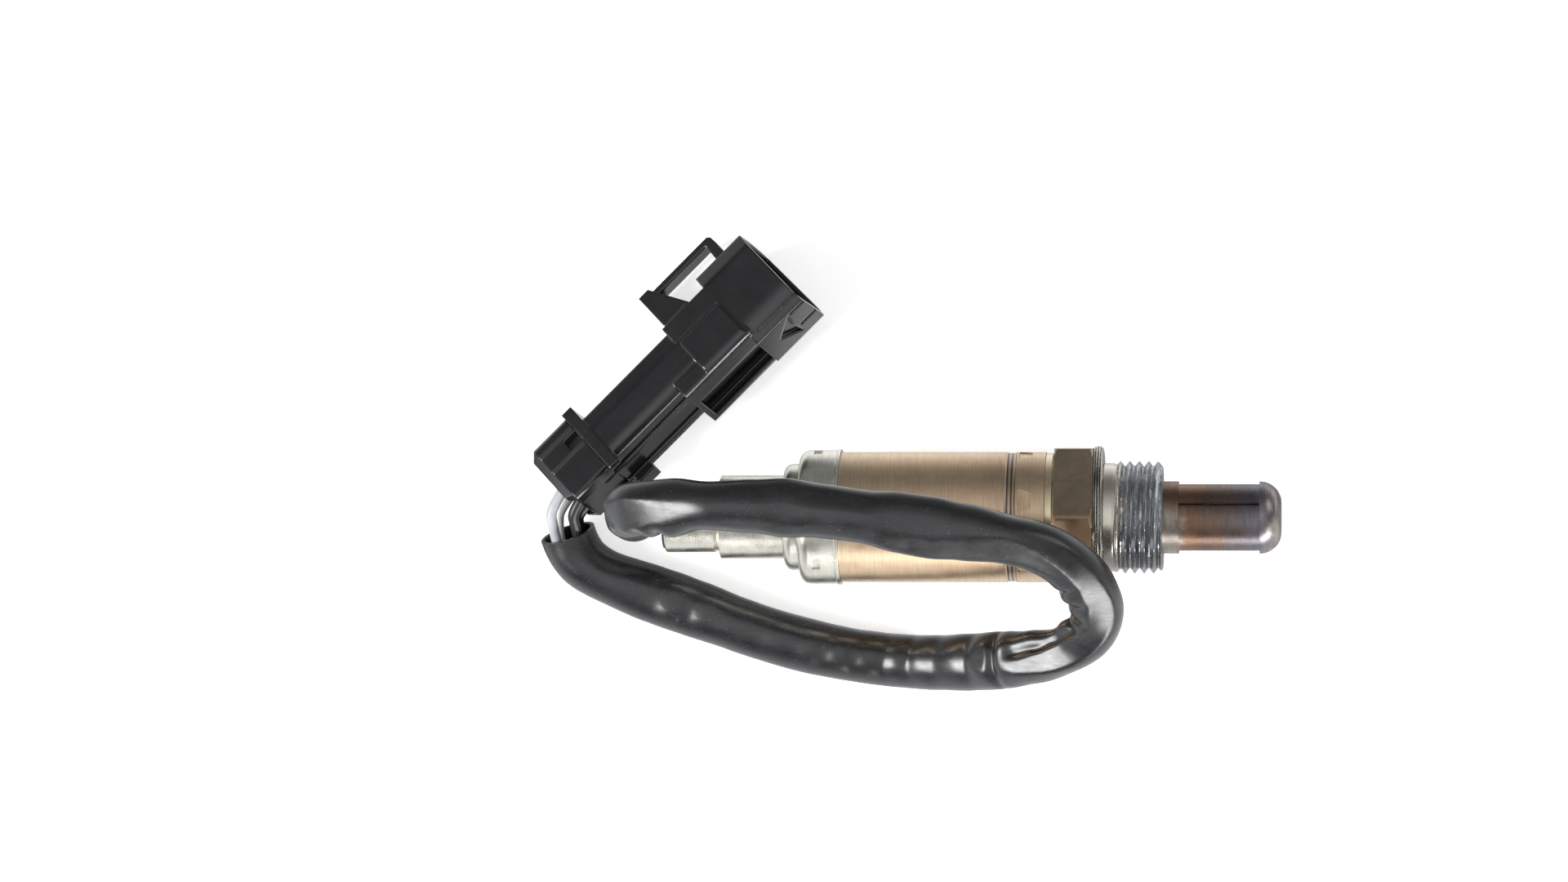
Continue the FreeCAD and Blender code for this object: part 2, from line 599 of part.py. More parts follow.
def smooth_path(points, radii):
    """Straight runs joined by tangent arcs, as a list of lines and arcs."""
    points = [V(*point) for point in points]
    steps = []
    start = points[0]
    for i in range(1, len(points) - 1):
        back, ahead, turn = corner_turn(points[i - 1], points[i], points[i + 1])
        shorter = min((points[i] - points[i - 1]).Length, (points[i + 1] - points[i]).Length)
        radius = radii.get(i, 0.45 * shorter / math.tan(turn / 2.0))
        reach = radius * math.tan(turn / 2.0)
        first = points[i] - back * reach
        last = points[i] + ahead * reach
        axis = back.cross(ahead).normalize()
        centre = first + axis.cross(back) * radius
        steps.append(("line", start, first))
        steps.append(("arc", first, last, centre, axis, turn, radius))
        start = last
    steps.append(("line", start, points[-1]))
    return steps


def spin(point, centre, axis, angle):
    return centre + FreeCAD.Rotation(axis, math.degrees(angle)).multVec(point - centre)


def tube_edges(steps, offset):
    """Edges of the path moved sideways by an offset that is carried along without twist."""
    edges = []
    offset = V(offset)
    for step in steps:
        if step[0] == "line":
            edges.append(Part.LineSegment(step[1] + offset, step[2] + offset).toShape())
        else:
            kind, first, last, centre, axis, turn, radius = step
            begin = first + offset
            half = spin(begin, centre, axis, turn / 2.0)
            end = spin(begin, centre, axis, turn)
            edges.append(Part.Arc(begin, half, end).toShape())
            offset = FreeCAD.Rotation(axis, math.degrees(turn)).multVec(offset)
    return edges, offset


def sweep(edges, radius):
    path = Part.Wire(edges)
    start = edges[0].valueAt(edges[0].FirstParameter)
    along = edges[0].tangentAt(edges[0].FirstParameter)
    ring = Part.Wire([Part.Circle(start, along, radius).toShape()])
    solid = path.makePipeShell([ring], True, False)
    expected = math.pi * radius * radius * path.Length
    if abs(solid.Volume - expected) > 0.01 * expected:
        raise ValueError("sweep has volume %.2f, not %.2f" % (solid.Volume, expected))
    return solid


def keep(label, shape):
    feature = doc.addObject("Part::Feature", label)
    feature.Label = label
    feature.Shape = shape
    return feature


bundle_points = ((wire_start.value, 0.0, 0.0),) + LEAD_OUT + SHEATH_ROUTE + (SHEATH_END,)
bundle = smooth_path(bundle_points, {1: s.exit_bend_radius.value})
for step in bundle:
    if step[0] == "arc":
        print("bend radius %.1f mm, turn %.0f degrees" % (step[6], math.degrees(step[5])))

# The sleeve covers the bundle from the second point of the riser onwards
sheath_steps = bundle[2:]
sheath_start = V(*LEAD_OUT[0]) + (V(*LEAD_OUT[1]) - V(*LEAD_OUT[0])).normalize() * s.sheath_start_height.value
sheath_steps[0] = ("line", sheath_start, bundle[2][2])
sheath_edges = tube_edges(sheath_steps, V(0, 0, 0))[0]
sheath_radius = s.sheath_diameter.value / 2.0
sheath = keep("cable_sleeve", sweep(sheath_edges, sheath_radius).cut(
    sweep(sheath_edges, sheath_radius - s.sheath_wall.value)))
print("sleeve length %.1f mm" % Part.Wire(sheath_edges).Length)

# Frame of the plug: local x runs to its mouth, local y to its latch
plug_place = FreeCAD.Placement(
    V(s.plug_x.value, s.plug_y.value, s.plug_z.value),
    FreeCAD.Rotation(V(0, 0, 1), s.plug_angle.value).multiply(
        FreeCAD.Rotation(V(1, 0, 0), -s.plug_roll.value)))
plug_half = s.plug_wire_pitch / 2.0
upper = plug_half - s.plug_wire_drop
lower = -plug_half - s.plug_wire_drop
plug_holes = ((lower, -plug_half), (upper, -plug_half), (upper, plug_half), (lower, plug_half))
body_end = s.body_start + s.body_length
plug_end = body_end + s.shroud_length
cavity_floor = plug_end - s.cavity_depth
blade_start = cavity_floor - s.box_offset
box_start = blade_start - s.box_length
wire_in_plug = box_start - 1.0

# The leads in the order of their holes, each with the place behind the plug where it bends
LEADS = (
    ("wire_black_1", -0.5), ("wire_white", -1.6), ("wire_grey", -2.4), ("wire_black_2", -0.3))
wire_radius = s.wire_diameter.value / 2.0
spoke = strip_radius.value
for hole, (label, bend_at) in enumerate(LEADS):
    angle = math.radians(s.wire_roll.value + 45.0 + 90.0 * hole)
    start_offset = V(0, spoke * math.sin(angle), spoke * math.cos(angle))
    edges, end_offset = tube_edges(bundle[:-1], start_offset)
    leave = bundle[-1][1] + end_offset
    reach_end = bundle[-1][2] + end_offset
    y, z = plug_holes[hole]
    bend = plug_place.multVec(V(bend_at, y.value, z.value))
    finish = plug_place.multVec(V(wire_in_plug.value, y.value, z.value))
    tail = smooth_path((leave, reach_end, bend, finish), {})
    edges += tube_edges(tail, V(0, 0, 0))[0]
    keep(label, sweep(edges, wire_radius))
    print("%s length %.1f mm, last bends %.1f and %.1f mm" % (
        label, Part.Wire(edges).Length, tail[1][6], tail[3][6]))

# Plug housing with its shroud, mounting slot and latch in one piece
half_body = s.body_height / 2.0
half_width = s.body_width / 2.0
flange_start = s.body_start - s.flange_length
spigot_start = flange_start - s.spigot_length
seal_end = spigot_start + 0.1 + s.seal_length
barrel_start = wire_in_plug - s.barrel_length + 1.0
rail_end = body_end + s.rail_overlap
rail_start = rail_end - s.rail_length
latch_end = plug_end - s.latch_setback
latch_start = latch_end - s.latch_length


def tapered(top, foot, top_taper, top_depth, foot_taper, foot_depth):
    """Outline across the plug whose sides lean in towards its top and its foot."""
    return (
        (top, half_width - top_depth), (top - top_taper, half_width),
        (foot + foot_taper, half_width), (foot, half_width - foot_depth),
        (foot, foot_depth - half_width), (foot + foot_taper, -half_width),
        (top - top_taper, -half_width), (top, top_depth - half_width))


def bar(body, x0, x1, outline):
    """Pad an outline drawn across the plug between two values along it."""
    sketch = draw_outline(new_sketch(body, "YZ_Plane", x0), outline)
    return pad(body, sketch, to_size(x1) - x0)


def long_edge(x0, x1, y, z):
    """Edges along the plug from x0 to x1, at y and on both sides at z."""
    x0, x1, y, z = (to_size(number).value for number in (x0, x1, y, z))

    def test(edge):
        ends = [vertex.Point for vertex in edge.Vertexes]
        if len(ends) != 2:
            return False
        low, high = sorted(point.x for point in ends)
        placed = all(abs(point.y - y) < 1e-4 and abs(abs(point.z) - z) < 1e-4 for point in ends)
        return placed and abs(low - x0) < 1e-4 and abs(high - x1) < 1e-4
    return test


housing = new_body("connector_housing")
bar(housing, flange_start, body_end, tapered(
    half_body, -half_body, s.body_top_taper, s.body_top_depth,
    s.body_foot_taper, s.body_foot_depth))
bar(housing, body_end, plug_end, tapered(
    s.shroud_top, -s.shroud_bottom, s.shroud_top_taper, s.shroud_top_depth,
    s.shroud_foot_taper, s.shroud_foot_depth))
for start, end, y, radius in (
        (flange_start, body_end, half_body - s.body_top_taper, 4.0),
        (flange_start, body_end, s.body_foot_taper - half_body, 2.2),
        (body_end, plug_end, s.shroud_top - s.shroud_top_taper, 2.0),
        (body_end, plug_end, s.shroud_foot_taper - s.shroud_bottom, 4.0)):
    dress(housing, "Fillet", long_edge(start, end, y, half_width), radius)
flange_half = half_width + s.flange_side
block(housing, flange_start, s.body_start, -half_body, s.flange_top, -flange_half, flange_half)
block(housing, flange_start, s.body_start, -half_body - s.flange_tab, s.flange_top,
      flange_half - 1.2, flange_half)
spigot_bottom = -s.cap_bottom + s.cap_wall * 0.4
block(housing, spigot_start, flange_start, spigot_bottom, s.cap_top - s.cap_wall * 2.7,
      -half_width + s.cap_wall, half_width - s.cap_wall)
rail_foot = -half_body - s.rail_height
block(housing, rail_start, rail_end, rail_foot, s.body_foot_taper - half_body,
      -half_width, half_width)
slot_start = rail_start + s.slot_offset
hollow(housing, slot_start, rail_end, rail_foot, -half_body - 0.1,
       s.slot_shift - s.slot_mouth / 2.0, s.slot_shift + s.slot_mouth / 2.0)
hollow(housing, slot_start, rail_end, rail_foot + s.rail_lip, -half_body - 0.1,
       s.slot_shift - s.slot_width / 2.0, s.slot_shift + s.slot_width / 2.0)
block_start = latch_start + 0.2
block(housing, block_start, body_end, rail_foot, 1.05,
      half_width - 1.0, half_width + s.block_height)
dress(housing, "Fillet", long_edge(block_start, body_end, rail_foot,
                                   half_width + s.block_height), 1.5)
block(housing, latch_start - 0.4, body_end, half_body - 2.7, half_body + 0.9,
      -half_width, half_width)
foot_start = flange_start + 1.1
block(housing, foot_start, foot_start + s.foot_length, -half_body - s.foot_drop, -half_body + 0.8,
      -half_width + 0.4, -half_width + s.foot_width)
for rib in (1.9, -3.3):
    block(housing, flange_start - 2.5, rail_start, -half_body - 0.5, -half_body,
          rib - 0.3, rib + 0.3)
arm_top = s.latch_arm_height
arm_bottom = arm_top - s.latch_arm_thickness
arm = draw_outline(new_sketch(housing, "XY_Plane"), (
    (latch_start + 1.5, arm_bottom), (latch_end - s.latch_leg, arm_bottom),
    (latch_end - s.latch_leg - 0.3, s.shroud_top - 0.4), (latch_end, s.shroud_top - 0.4),
    (latch_end, arm_top - 0.5), (latch_end - 0.5, arm_top), (latch_start + 1.5, arm_top)))
pad(housing, arm, s.latch_arm_width, middle=True)
thumb = draw_outline(new_sketch(housing, "XY_Plane"), (
    (latch_start, s.latch_pad_bottom), (latch_start + 5.6, s.latch_pad_bottom + 0.2),
    (latch_start + 2.1, s.latch_pad_height), (latch_start, s.latch_pad_height)))
pad(housing, thumb, s.latch_pad_width, middle=True)
slant = draw_outline(new_sketch(housing, "XY_Plane"), (
    (plug_end - s.mouth_slant, s.shroud_top + 0.5), (plug_end + 0.5, s.shroud_top + 0.5),
    (plug_end + 0.5, -s.shroud_bottom), (plug_end, -s.shroud_bottom)))
pocket(housing, slant, s.body_width + 2.0, middle=True)
lean = draw_outline(new_sketch(housing, "XZ_Plane"), (
    (plug_end - s.mouth_lean, half_width + 0.5), (plug_end + 0.5, half_width + 0.5),
    (plug_end + 0.5, -half_width), (plug_end, -half_width)))
pocket(housing, lean, (s.shroud_top + s.shroud_bottom) * 1.2, middle=True)
hollow(housing, cavity_floor, plug_end, -half_body + s.shroud_wall, half_body - s.shroud_wall,
       -half_width + s.shroud_wall, half_width - s.shroud_wall)
hollow(housing, body_end + 1.5, plug_end, -s.shroud_bottom + s.shroud_wall,
       s.shroud_top - s.shroud_wall, -half_width + s.shroud_wall, half_width - s.shroud_wall)
mark = plug_end - s.mark_setback
arrow = draw_outline(new_sketch(housing, "XZ_Plane", s.shroud_bottom - 0.6), (
    (mark - 3.6, 0.1), (mark, 3.8), (mark - 0.5, 0.5), (mark, -2.9)))
pocket(housing, arrow, 0.6 + 0.1, reverse=True)
for line in (half_width - s.shroud_foot_depth - 0.5, Size(-1.0)):
    hollow(housing, mark + 0.4, plug_end, -s.shroud_bottom, -s.shroud_bottom + 0.3,
           line - 0.25, line + 0.25)
round_hole(housing, spigot_start, seal_end, plug_holes, s.seal_radius)
barrel_radius = s.wire_diameter / 2.0 + s.barrel_wall
round_hole(housing, seal_end, box_start + 0.1, plug_holes, barrel_radius + s.fit_clearance)
for y, z in plug_holes:
    side = s.box_side / 2.0 + s.fit_clearance
    hollow(housing, box_start, blade_start + 0.1, y - side, y + side, z - side, z + side)
    thin = s.blade_thickness / 2.0 + s.fit_clearance
    wide = s.blade_width / 2.0 + s.fit_clearance
    hollow(housing, blade_start, cavity_floor, y - thin, y + thin, z - wide, z + wide)
housing.Placement = plug_place

# Rear cap that traps the lead seals
cap = new_body("connector_rear_cap")
belly = s.cap_bottom + s.cap_belly
bar(cap, 0, flange_start, (
    (s.cap_top, half_width), (-s.cap_bottom, half_width), (-s.cap_bottom, -half_width + 1.2),
    (-s.cap_bottom + 1.0, -half_width), (s.cap_top, -half_width)))
dress(cap, "Fillet", long_edge(0, flange_start, s.cap_top, half_width), s.cap_chamfer + 0.2)
dress(cap, "Chamfer", lambda e: all(abs(v.Point.x) < 1e-6 for v in e.Vertexes), s.cap_chamfer)
bar(cap, s.cap_chamfer, flange_start, (
    (-s.cap_bottom + 0.5, half_width), (-s.cap_bottom - 0.5, half_width),
    (-belly, half_width - 0.6), (-belly, 3.2), (-s.cap_bottom, 2.8), (-s.cap_bottom + 0.5, 2.8)))
recess_side = plug_half + 1.4
hollow(cap, 0, s.cap_recess, -s.cap_bottom + 0.4, upper + 1.6, -recess_side, recess_side)
round_hole(cap, s.cap_recess, spigot_start, plug_holes, s.wire_diameter / 2.0)
hollow(cap, spigot_start, flange_start, spigot_bottom - gap,
       s.cap_top - s.cap_wall * 2.7 + gap, -half_width + s.cap_wall - gap,
       half_width - s.cap_wall + gap)
hollow(cap, 6.1, flange_start, 1.65, 3.6, half_width - s.cap_wall - gap, half_width)
for rib in (4.6, 1.1):
    block(cap, 1.3, flange_start, rib - 0.2, rib + 0.2, half_width, half_width + 0.3)
cap.Placement = plug_place

for number, (y, z) in enumerate(plug_holes, 1):
    terminal = new_body("terminal_%d" % number)
    radius = barrel_radius
    sketch = new_sketch(terminal, "YZ_Plane", barrel_start)
    draw_circle(sketch, y, z, radius)
    draw_circle(sketch, y, z, s.wire_diameter / 2.0)
    pad(terminal, sketch, wire_in_plug - barrel_start)
    side = s.box_side / 2.0
    sketch = draw_circle(new_sketch(terminal, "YZ_Plane", wire_in_plug), y, z, radius)
    pad(terminal, sketch, box_start - wire_in_plug)
    block(terminal, box_start, blade_start, y - side, y + side, z - side, z + side)
    thin = s.blade_thickness / 2.0
    wide = s.blade_width / 2.0
    block(terminal, blade_start, blade_start + s.blade_length, y - thin, y + thin,
          z - wide, z + wide)
    tip = (blade_start + s.blade_length).value
    dress(terminal, "Chamfer", lambda e: e.Length > 1.0 and all(
        abs(v.Point.x - tip) < 1e-5 for v in e.Vertexes), 0.22)
    terminal.Placement = plug_place
    seal = new_body("wire_seal_%d" % number)
    sketch = new_sketch(seal, "YZ_Plane", spigot_start)
    draw_circle(sketch, y, z, s.seal_radius)
    draw_circle(sketch, y, z, s.wire_diameter / 2.0)
    pad(seal, sketch, s.seal_length)
    seal.Placement = plug_place

doc.recompute()
saved = [obj for obj in doc.Objects if obj.TypeId in ("PartDesign::Body", "Part::Feature")]
for obj in doc.Objects:
    if "Invalid" in obj.State or "Error" in obj.State:
        raise ValueError("%s is in state %s" % (obj.Name, obj.State))
for obj in saved:
    shape = obj.Shape
    if shape.isNull() or not shape.isValid() or len(shape.Solids) != 1:
        raise ValueError("%s is not one valid solid" % obj.Label)
for obj in saved:
    obj.Shape.exportStep("parts/%s.step" % obj.Label)
print("%d pieces written" % len(saved))
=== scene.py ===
import json
import math

import bpy
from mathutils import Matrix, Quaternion, Vector, noise


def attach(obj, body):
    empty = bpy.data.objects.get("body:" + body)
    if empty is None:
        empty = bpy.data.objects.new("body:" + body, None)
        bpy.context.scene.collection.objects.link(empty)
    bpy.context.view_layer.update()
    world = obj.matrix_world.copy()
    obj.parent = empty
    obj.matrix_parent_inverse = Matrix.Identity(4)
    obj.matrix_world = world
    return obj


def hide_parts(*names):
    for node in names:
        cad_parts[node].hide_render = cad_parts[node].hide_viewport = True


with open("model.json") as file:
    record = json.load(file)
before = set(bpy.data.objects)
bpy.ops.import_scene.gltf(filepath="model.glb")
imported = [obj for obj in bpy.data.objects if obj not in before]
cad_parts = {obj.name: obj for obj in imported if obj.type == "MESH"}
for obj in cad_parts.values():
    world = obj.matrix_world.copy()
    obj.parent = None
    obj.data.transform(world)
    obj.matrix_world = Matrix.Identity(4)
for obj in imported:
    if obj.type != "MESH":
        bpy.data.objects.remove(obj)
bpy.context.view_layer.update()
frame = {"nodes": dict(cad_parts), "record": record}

scene = bpy.context.scene
MM = 0.001
FLOOR = -12.7 * MM            # height of the floor that the object lies on
WHITE = (1.0, 1.0, 1.0, 1.0)


def tone(red, green, blue):
    """A colour written as it shows on a screen."""
    def plain(value):
        return value / 12.92 if value <= 0.04045 else ((value + 0.055) / 1.055) ** 2.4
    return (plain(red), plain(green), plain(blue), 1.0)


# Camera: the photograph's view from above, 5 degrees off plumb towards the tip
camera_data = bpy.data.cameras.new("camera")
camera_data.sensor_width = 36.0
camera_data.lens = 143.44
camera_data.clip_start = 0.05
camera_data.clip_end = 50.0
camera = bpy.data.objects.new("camera", camera_data)
camera.location = (35.948 * MM, 12.168 * MM, 996.195 * MM)
camera.rotation_euler = (0.0, math.radians(5.0), 0.0)
scene.collection.objects.link(camera)
scene.camera = camera


# Routes of the leads and their sleeve, in millimetres
LEAD_START = ((-66.0, 0.0, 0.0), (-71.2, 0.0, 0.0))   # out of the ferrules, through the grommet
LEAD_OUT = ((-74.7, 0.0, 0.0), (-74.6, 0.6, 9.2))     # behind the body, and up
SHEATH_START = (-74.63, 0.39, 5.99)
SHEATH_ROUTE = (
    (-74.6, 1.1, 15.0), (-73.5, 1.4, 20.0), (-70.0, 1.6, 22.4), (-64.8, 1.8, 24.2),
    (-58.6, 2.1, 25.2), (-48.5, 1.9, 25.4), (-36.5, 0.5, 25.3), (-25.0, -1.4, 25.2),
    (-15.6, -2.6, 24.9), (-8.0, -4.6, 23.4), (-2.4, -9.0, 20.0), (0.2, -14.6, 14.8),
    (-2.2, -19.2, 10.0), (-7.4, -21.7, 7.2), (-14.3, -22.6, 3.6), (-22.4, -23.3, -2.6),
    (-32.0, -23.5, -8.3), (-43.6, -22.0, -8.3), (-55.2, -19.0, -8.3), (-66.4, -14.9, -8.3),
    (-75.8, -11.7, -8.3), (-82.6, -9.0, -8.3), (-85.9, -6.0, -7.6))
SHEATH_END = (-86.9, -2.7, -6.5)
SHEATH_DIAMETER = 8.6
WIRE_DIAMETER = 1.7
WIRE_PITCH = 3.6              # between neighbouring leads in the grommet
ROUTE_STEPS = 24              # steps of a curve between two of its points

# The plug's own frame: +x from the leads to the mouth
PLUG_ORIGIN = Vector((-86.8, 3.5, -3.85))
PLUG_TURN = (Quaternion((0, 0, 1), math.radians(45.0))
             @ Quaternion((1, 0, 0), math.radians(-25.0)))


def in_plug(x, y, z):
    """A place in the plug's own frame, in the row frame, all in millimetres."""
    return PLUG_ORIGIN + PLUG_TURN @ Vector((x, y, z))


def nurbs(name, points):
    """A curve of one open spline whose ends lie on its first and last point."""
    curve = bpy.data.curves.new(name, "CURVE")
    curve.dimensions = "3D"
    spline = curve.splines.new("NURBS")
    spline.points.add(len(points) - 1)
    for knot, point in zip(spline.points, points):
        knot.co = (point[0] * MM, point[1] * MM, point[2] * MM, 1.0)
    spline.order_u = 3
    spline.use_endpoint_u = True
    spline.resolution_u = ROUTE_STEPS
    return curve


def route_line(points):
    """The points of the route's own smooth curve, in metres."""
    holder = bpy.data.objects.new("route", nurbs("route", points))
    mesh = bpy.data.meshes.new_from_object(holder)
    line = [vertex.co.copy() for vertex in mesh.vertices]
    bpy.data.objects.remove(holder)
    bpy.data.meshes.remove(mesh)
    return line


def beside(points, offset):
    """The route moved sideways by an offset that turns with it."""
    points = [Vector(point) for point in points]
    offset = Vector(offset)
    moved = [points[0] + offset]
    for before, here, after in zip(points, points[1:], points[2:]):
        back = (here - before).normalized()
        ahead = (after - here).normalized()
        turn = back.rotation_difference(ahead)
        axis, angle = turn.to_axis_angle()
        middle = Quaternion(axis, angle / 2.0) @ offset
        inwards = (ahead - back)
        if inwards.length > 1e-6:
            inwards.normalize()
            middle += inwards * middle.dot(inwards) * (1.0 / math.cos(angle / 2.0) - 1.0)
        moved.append(here + middle)
        offset = turn @ offset
    moved.append(points[-1] + offset)
    return moved


# Materials
class Tree:
    """The nodes of a material or a world, added and linked step by step."""

    def __init__(self, owner):
        owner.use_nodes = True
        self.nodes = owner.node_tree.nodes
        self.links = owner.node_tree.links

    def put(self, socket, value):
        """Link a socket to another node's output, or else set its value."""
        if isinstance(value, bpy.types.NodeSocket):
            self.links.new(value, socket)
        else:
            socket.default_value = value

    def fill(self, node, inputs):
        for socket, value in inputs.items():
            self.put(node.inputs[socket], value)

    def add(self, kind, inputs):
        node = self.nodes.new("ShaderNode" + kind)
        self.fill(node, inputs)
        return node

    def split(self, vector):
        return self.add("SeparateXYZ", {0: vector}).outputs

    def maths(self, operation, *values):
        node = self.add("Math", dict(enumerate(values)))
        node.operation = operation
        return node.outputs[0]

    def span(self, value, low, high, to_low=0.0, to_high=1.0):
        """The value's place between low and high, drawn out from to_low to to_high."""
        return self.add("MapRange", {"Value": value, "From Min": low, "From Max": high,
                                     "To Min": to_low, "To Max": to_high}).outputs["Result"]

    def mix(self, share, first, second):
        node = self.add("Mix", {})
        node.data_type = "RGBA"
        self.fill(node, {0: share, 6: first, 7: second})
        return node.outputs[2]

    def ramp(self, value, *stops, ease="LINEAR"):
        """A colour for each value; a stop is a position with a colour or a level of grey."""
        node = self.add("ValToRGB", {0: value})
        node.color_ramp.interpolation = ease
        elements = node.color_ramp.elements
        while len(elements) < len(stops):
            elements.new(0.5)
        for element, (position, colour) in zip(elements, stops):
            element.position = position
            element.color = (colour if isinstance(colour, tuple)
                             else (colour, colour, colour, 1.0))
        return node.outputs["Color"]


class Paint(Tree):
    """A node material on the shader that it comes with; places are in millimetres."""

    def __init__(self, name):
        self.material = bpy.data.materials.new(name)
        super().__init__(self.material)
        scale = self.add("VectorMath", {0: self.add("TexCoord", {}).outputs["Object"]})
        scale.operation = "SCALE"
        scale.inputs["Scale"].default_value = 1.0 / MM
        self.place = scale.outputs[0]
        self.x, self.y, self.z = self.split(self.place)

    def stretched(self, sx, sy, sz, turn=0.0):
        """The place scaled along each axis, for a noise drawn out into lines."""
        return self.add("Mapping", {"Scale": (sx, sy, sz), "Rotation": (0.0, 0.0, turn),
                                    "Vector": self.place}).outputs[0]

    def noise(self, scale, detail=4.0, rough=0.55, place=None, twist=0.0):
        return self.add("TexNoise", {
            "Scale": scale, "Detail": detail, "Roughness": rough, "Distortion": twist,
            "Vector": self.place if place is None else place}).outputs["Fac"]

    def between(self, cloud, dark, light, low=0.3, high=0.7):
        """A colour that drifts from dark to light with the cloud."""
        return self.mix(self.ramp(cloud, (low, 0.0), (high, 1.0)), dark, light)

    def ragged(self, scale, detail, rough, limits, reach):
        """Place along the axis, moved to and fro by a noise, so that what it bounds is ragged."""
        drift = self.span(self.noise(scale, detail, rough), *limits, -reach, reach)
        return self.maths("ADD", self.x, drift)

    def bump(self, height, strength, distance, under=None):
        inputs = {"Strength": strength, "Distance": distance * MM, "Height": height}
        if under is not None:
            inputs["Normal"] = under
        return self.add("Bump", inputs).outputs["Normal"]

    def finish(self, inputs):
        self.fill(self.nodes["Principled BSDF"], inputs)
        return self.material


def brushed(name, low, high, rough, lines, pit, tint):
    """Turned or drawn metal with fine lines round the axis, faint stains and small pits."""
    paint = Paint(name)
    rings = paint.noise(1.0, 3.0, 0.6, paint.stretched(lines, 0.25, 0.25))
    cloud = paint.noise(0.35, 4.0, 0.6)
    pits = paint.noise(5.5, 2.0, 0.5)
    colour = paint.between(cloud, low, high)
    if tint is not None:
        colour = tint(paint, colour)
    colour = paint.mix(paint.span(rings, 0.35, 0.7, 0.0, 0.35), colour, tone(0.3, 0.27, 0.24))
    height = paint.maths("ADD", paint.maths("MULTIPLY", rings, 0.5),
                         paint.maths("MULTIPLY", pits, pit))
    return paint.finish({
        "Base Color": colour, "Metallic": 1.0,
        "Roughness": paint.span(paint.maths("ADD", cloud, rings), 0.7, 1.3, *rough),
        "Normal": paint.bump(height, 0.35, 0.05)})


def outer_tint(paint, colour):
    """Straw and bronze of a heated sleeve, and the dark lines of its closing band."""
    along = paint.ragged(0.16, 3.0, 0.5, (0.2, 0.8), 5.0)
    tint = paint.ramp(paint.span(along, -48.0, -9.0),
                      (0.0, tone(0.88, 0.79, 0.68)), (0.35, tone(0.92, 0.80, 0.66)),
                      (0.7, tone(0.91, 0.78, 0.64)), (0.86, tone(0.83, 0.71, 0.58)),
                      (1.0, tone(0.89, 0.78, 0.64)))
    colour = paint.mix(0.75, colour, tint)
    band = paint.maths("COMPARE", paint.x, -14.6, 0.85)
    lines = paint.span(paint.maths("SINE", paint.maths("MULTIPLY", paint.x, 9.5)),
                       -0.4, 0.9, 0.15, 1.0)
    return paint.mix(paint.maths("MULTIPLY", band, lines), colour, tone(0.36, 0.34, 0.36))


def tube_tint(paint, colour):
    """Brown, violet and blue along the heated tube, with paste smeared on its foot."""
    along = paint.ragged(0.3, 3.0, 0.55, (0.2, 0.8), 3.0)
    tint = paint.ramp(paint.span(along, 9.0, 29.0),
                      (0.0, tone(0.50, 0.44, 0.38)), (0.18, tone(0.52, 0.38, 0.28)),
                      (0.36, tone(0.45, 0.35, 0.30)), (0.55, tone(0.42, 0.37, 0.36)),
                      (0.74, tone(0.42, 0.42, 0.48)), (0.88, tone(0.56, 0.53, 0.54)),
                      (1.0, tone(0.74, 0.72, 0.68)))
    colour = paint.mix(0.85, colour, tint)
    edge = paint.ragged(0.7, 5.0, 0.6, (0.3, 0.7), 1.4)
    paste = paint.maths("MULTIPLY", paint.span(edge, 13.0, 11.4),
                        paint.span(paint.y, 2.6, 0.4))
    return paint.mix(paste, colour, tone(0.56, 0.53, 0.50))


def shell_finish():
    """Dulled hexagon, brighter collar and shank, and grey anti-seize paste over the thread; the
    shank and the paste carry painted shade on their lower, -y side.
    """
    paint = Paint("shell_steel")
    cloud = paint.noise(0.5, 5.0, 0.6)
    fine = paint.noise(6.0, 3.0, 0.6)
    rings = paint.noise(1.0, 3.0, 0.6, paint.stretched(9.0, 0.35, 0.35))
    steel = paint.between(cloud, tone(0.56, 0.51, 0.44), tone(0.62, 0.54, 0.45), 0.35, 0.68)
    steel = paint.mix(paint.span(paint.y, 1.0, -3.0, 0.0, 0.75), steel, tone(0.72, 0.57, 0.44))
    steel = paint.mix(paint.span(fine, 0.5, 0.8, 0.0, 0.3), steel, tone(0.36, 0.31, 0.27))
    collar = paint.span(paint.x, -7.85, -7.75, 1.0, 0.0)
    steel = paint.mix(collar, steel, tone(0.86, 0.80, 0.68))
    shank = paint.span(paint.x, -1.7, -1.5)
    steel = paint.mix(shank, steel, tone(0.82, 0.79, 0.74))
    paste = paint.span(paint.ragged(0.9, 5.0, 0.65, (0.3, 0.7), 1.5), 2.2, 3.0)
    grease = paint.mix(paint.span(rings, 0.32, 0.66),
                       tone(0.40, 0.405, 0.42), tone(0.80, 0.81, 0.82))
    colour = paint.mix(paste, steel, grease)
    # Painted shade: the shank and the paste turn dark grey towards -y, their lower side.
    painted_shade_below = paint.maths("MULTIPLY", paint.span(paint.y, -1.0, -5.0, 0.0, 0.78),
                       paint.maths("MAXIMUM", shank, paste))
    colour = paint.mix(painted_shade_below, colour, tone(0.32, 0.32, 0.33))
    height = paint.maths("ADD", paint.maths("MULTIPLY", fine, 0.35),
                         paint.maths("MULTIPLY", rings, paste))
    polish = paint.maths("MAXIMUM", collar, shank)
    return paint.finish({
        "Base Color": colour, "Metallic": paint.span(paste, 0.0, 1.0, 0.95, 0.85),
        "Roughness": paint.maths("SUBTRACT", paint.span(cloud, 0.3, 0.7, 0.38, 0.50),
                                 paint.maths("MULTIPLY", polish, 0.18)),
        "Normal": paint.bump(height, 0.16, 0.05)})


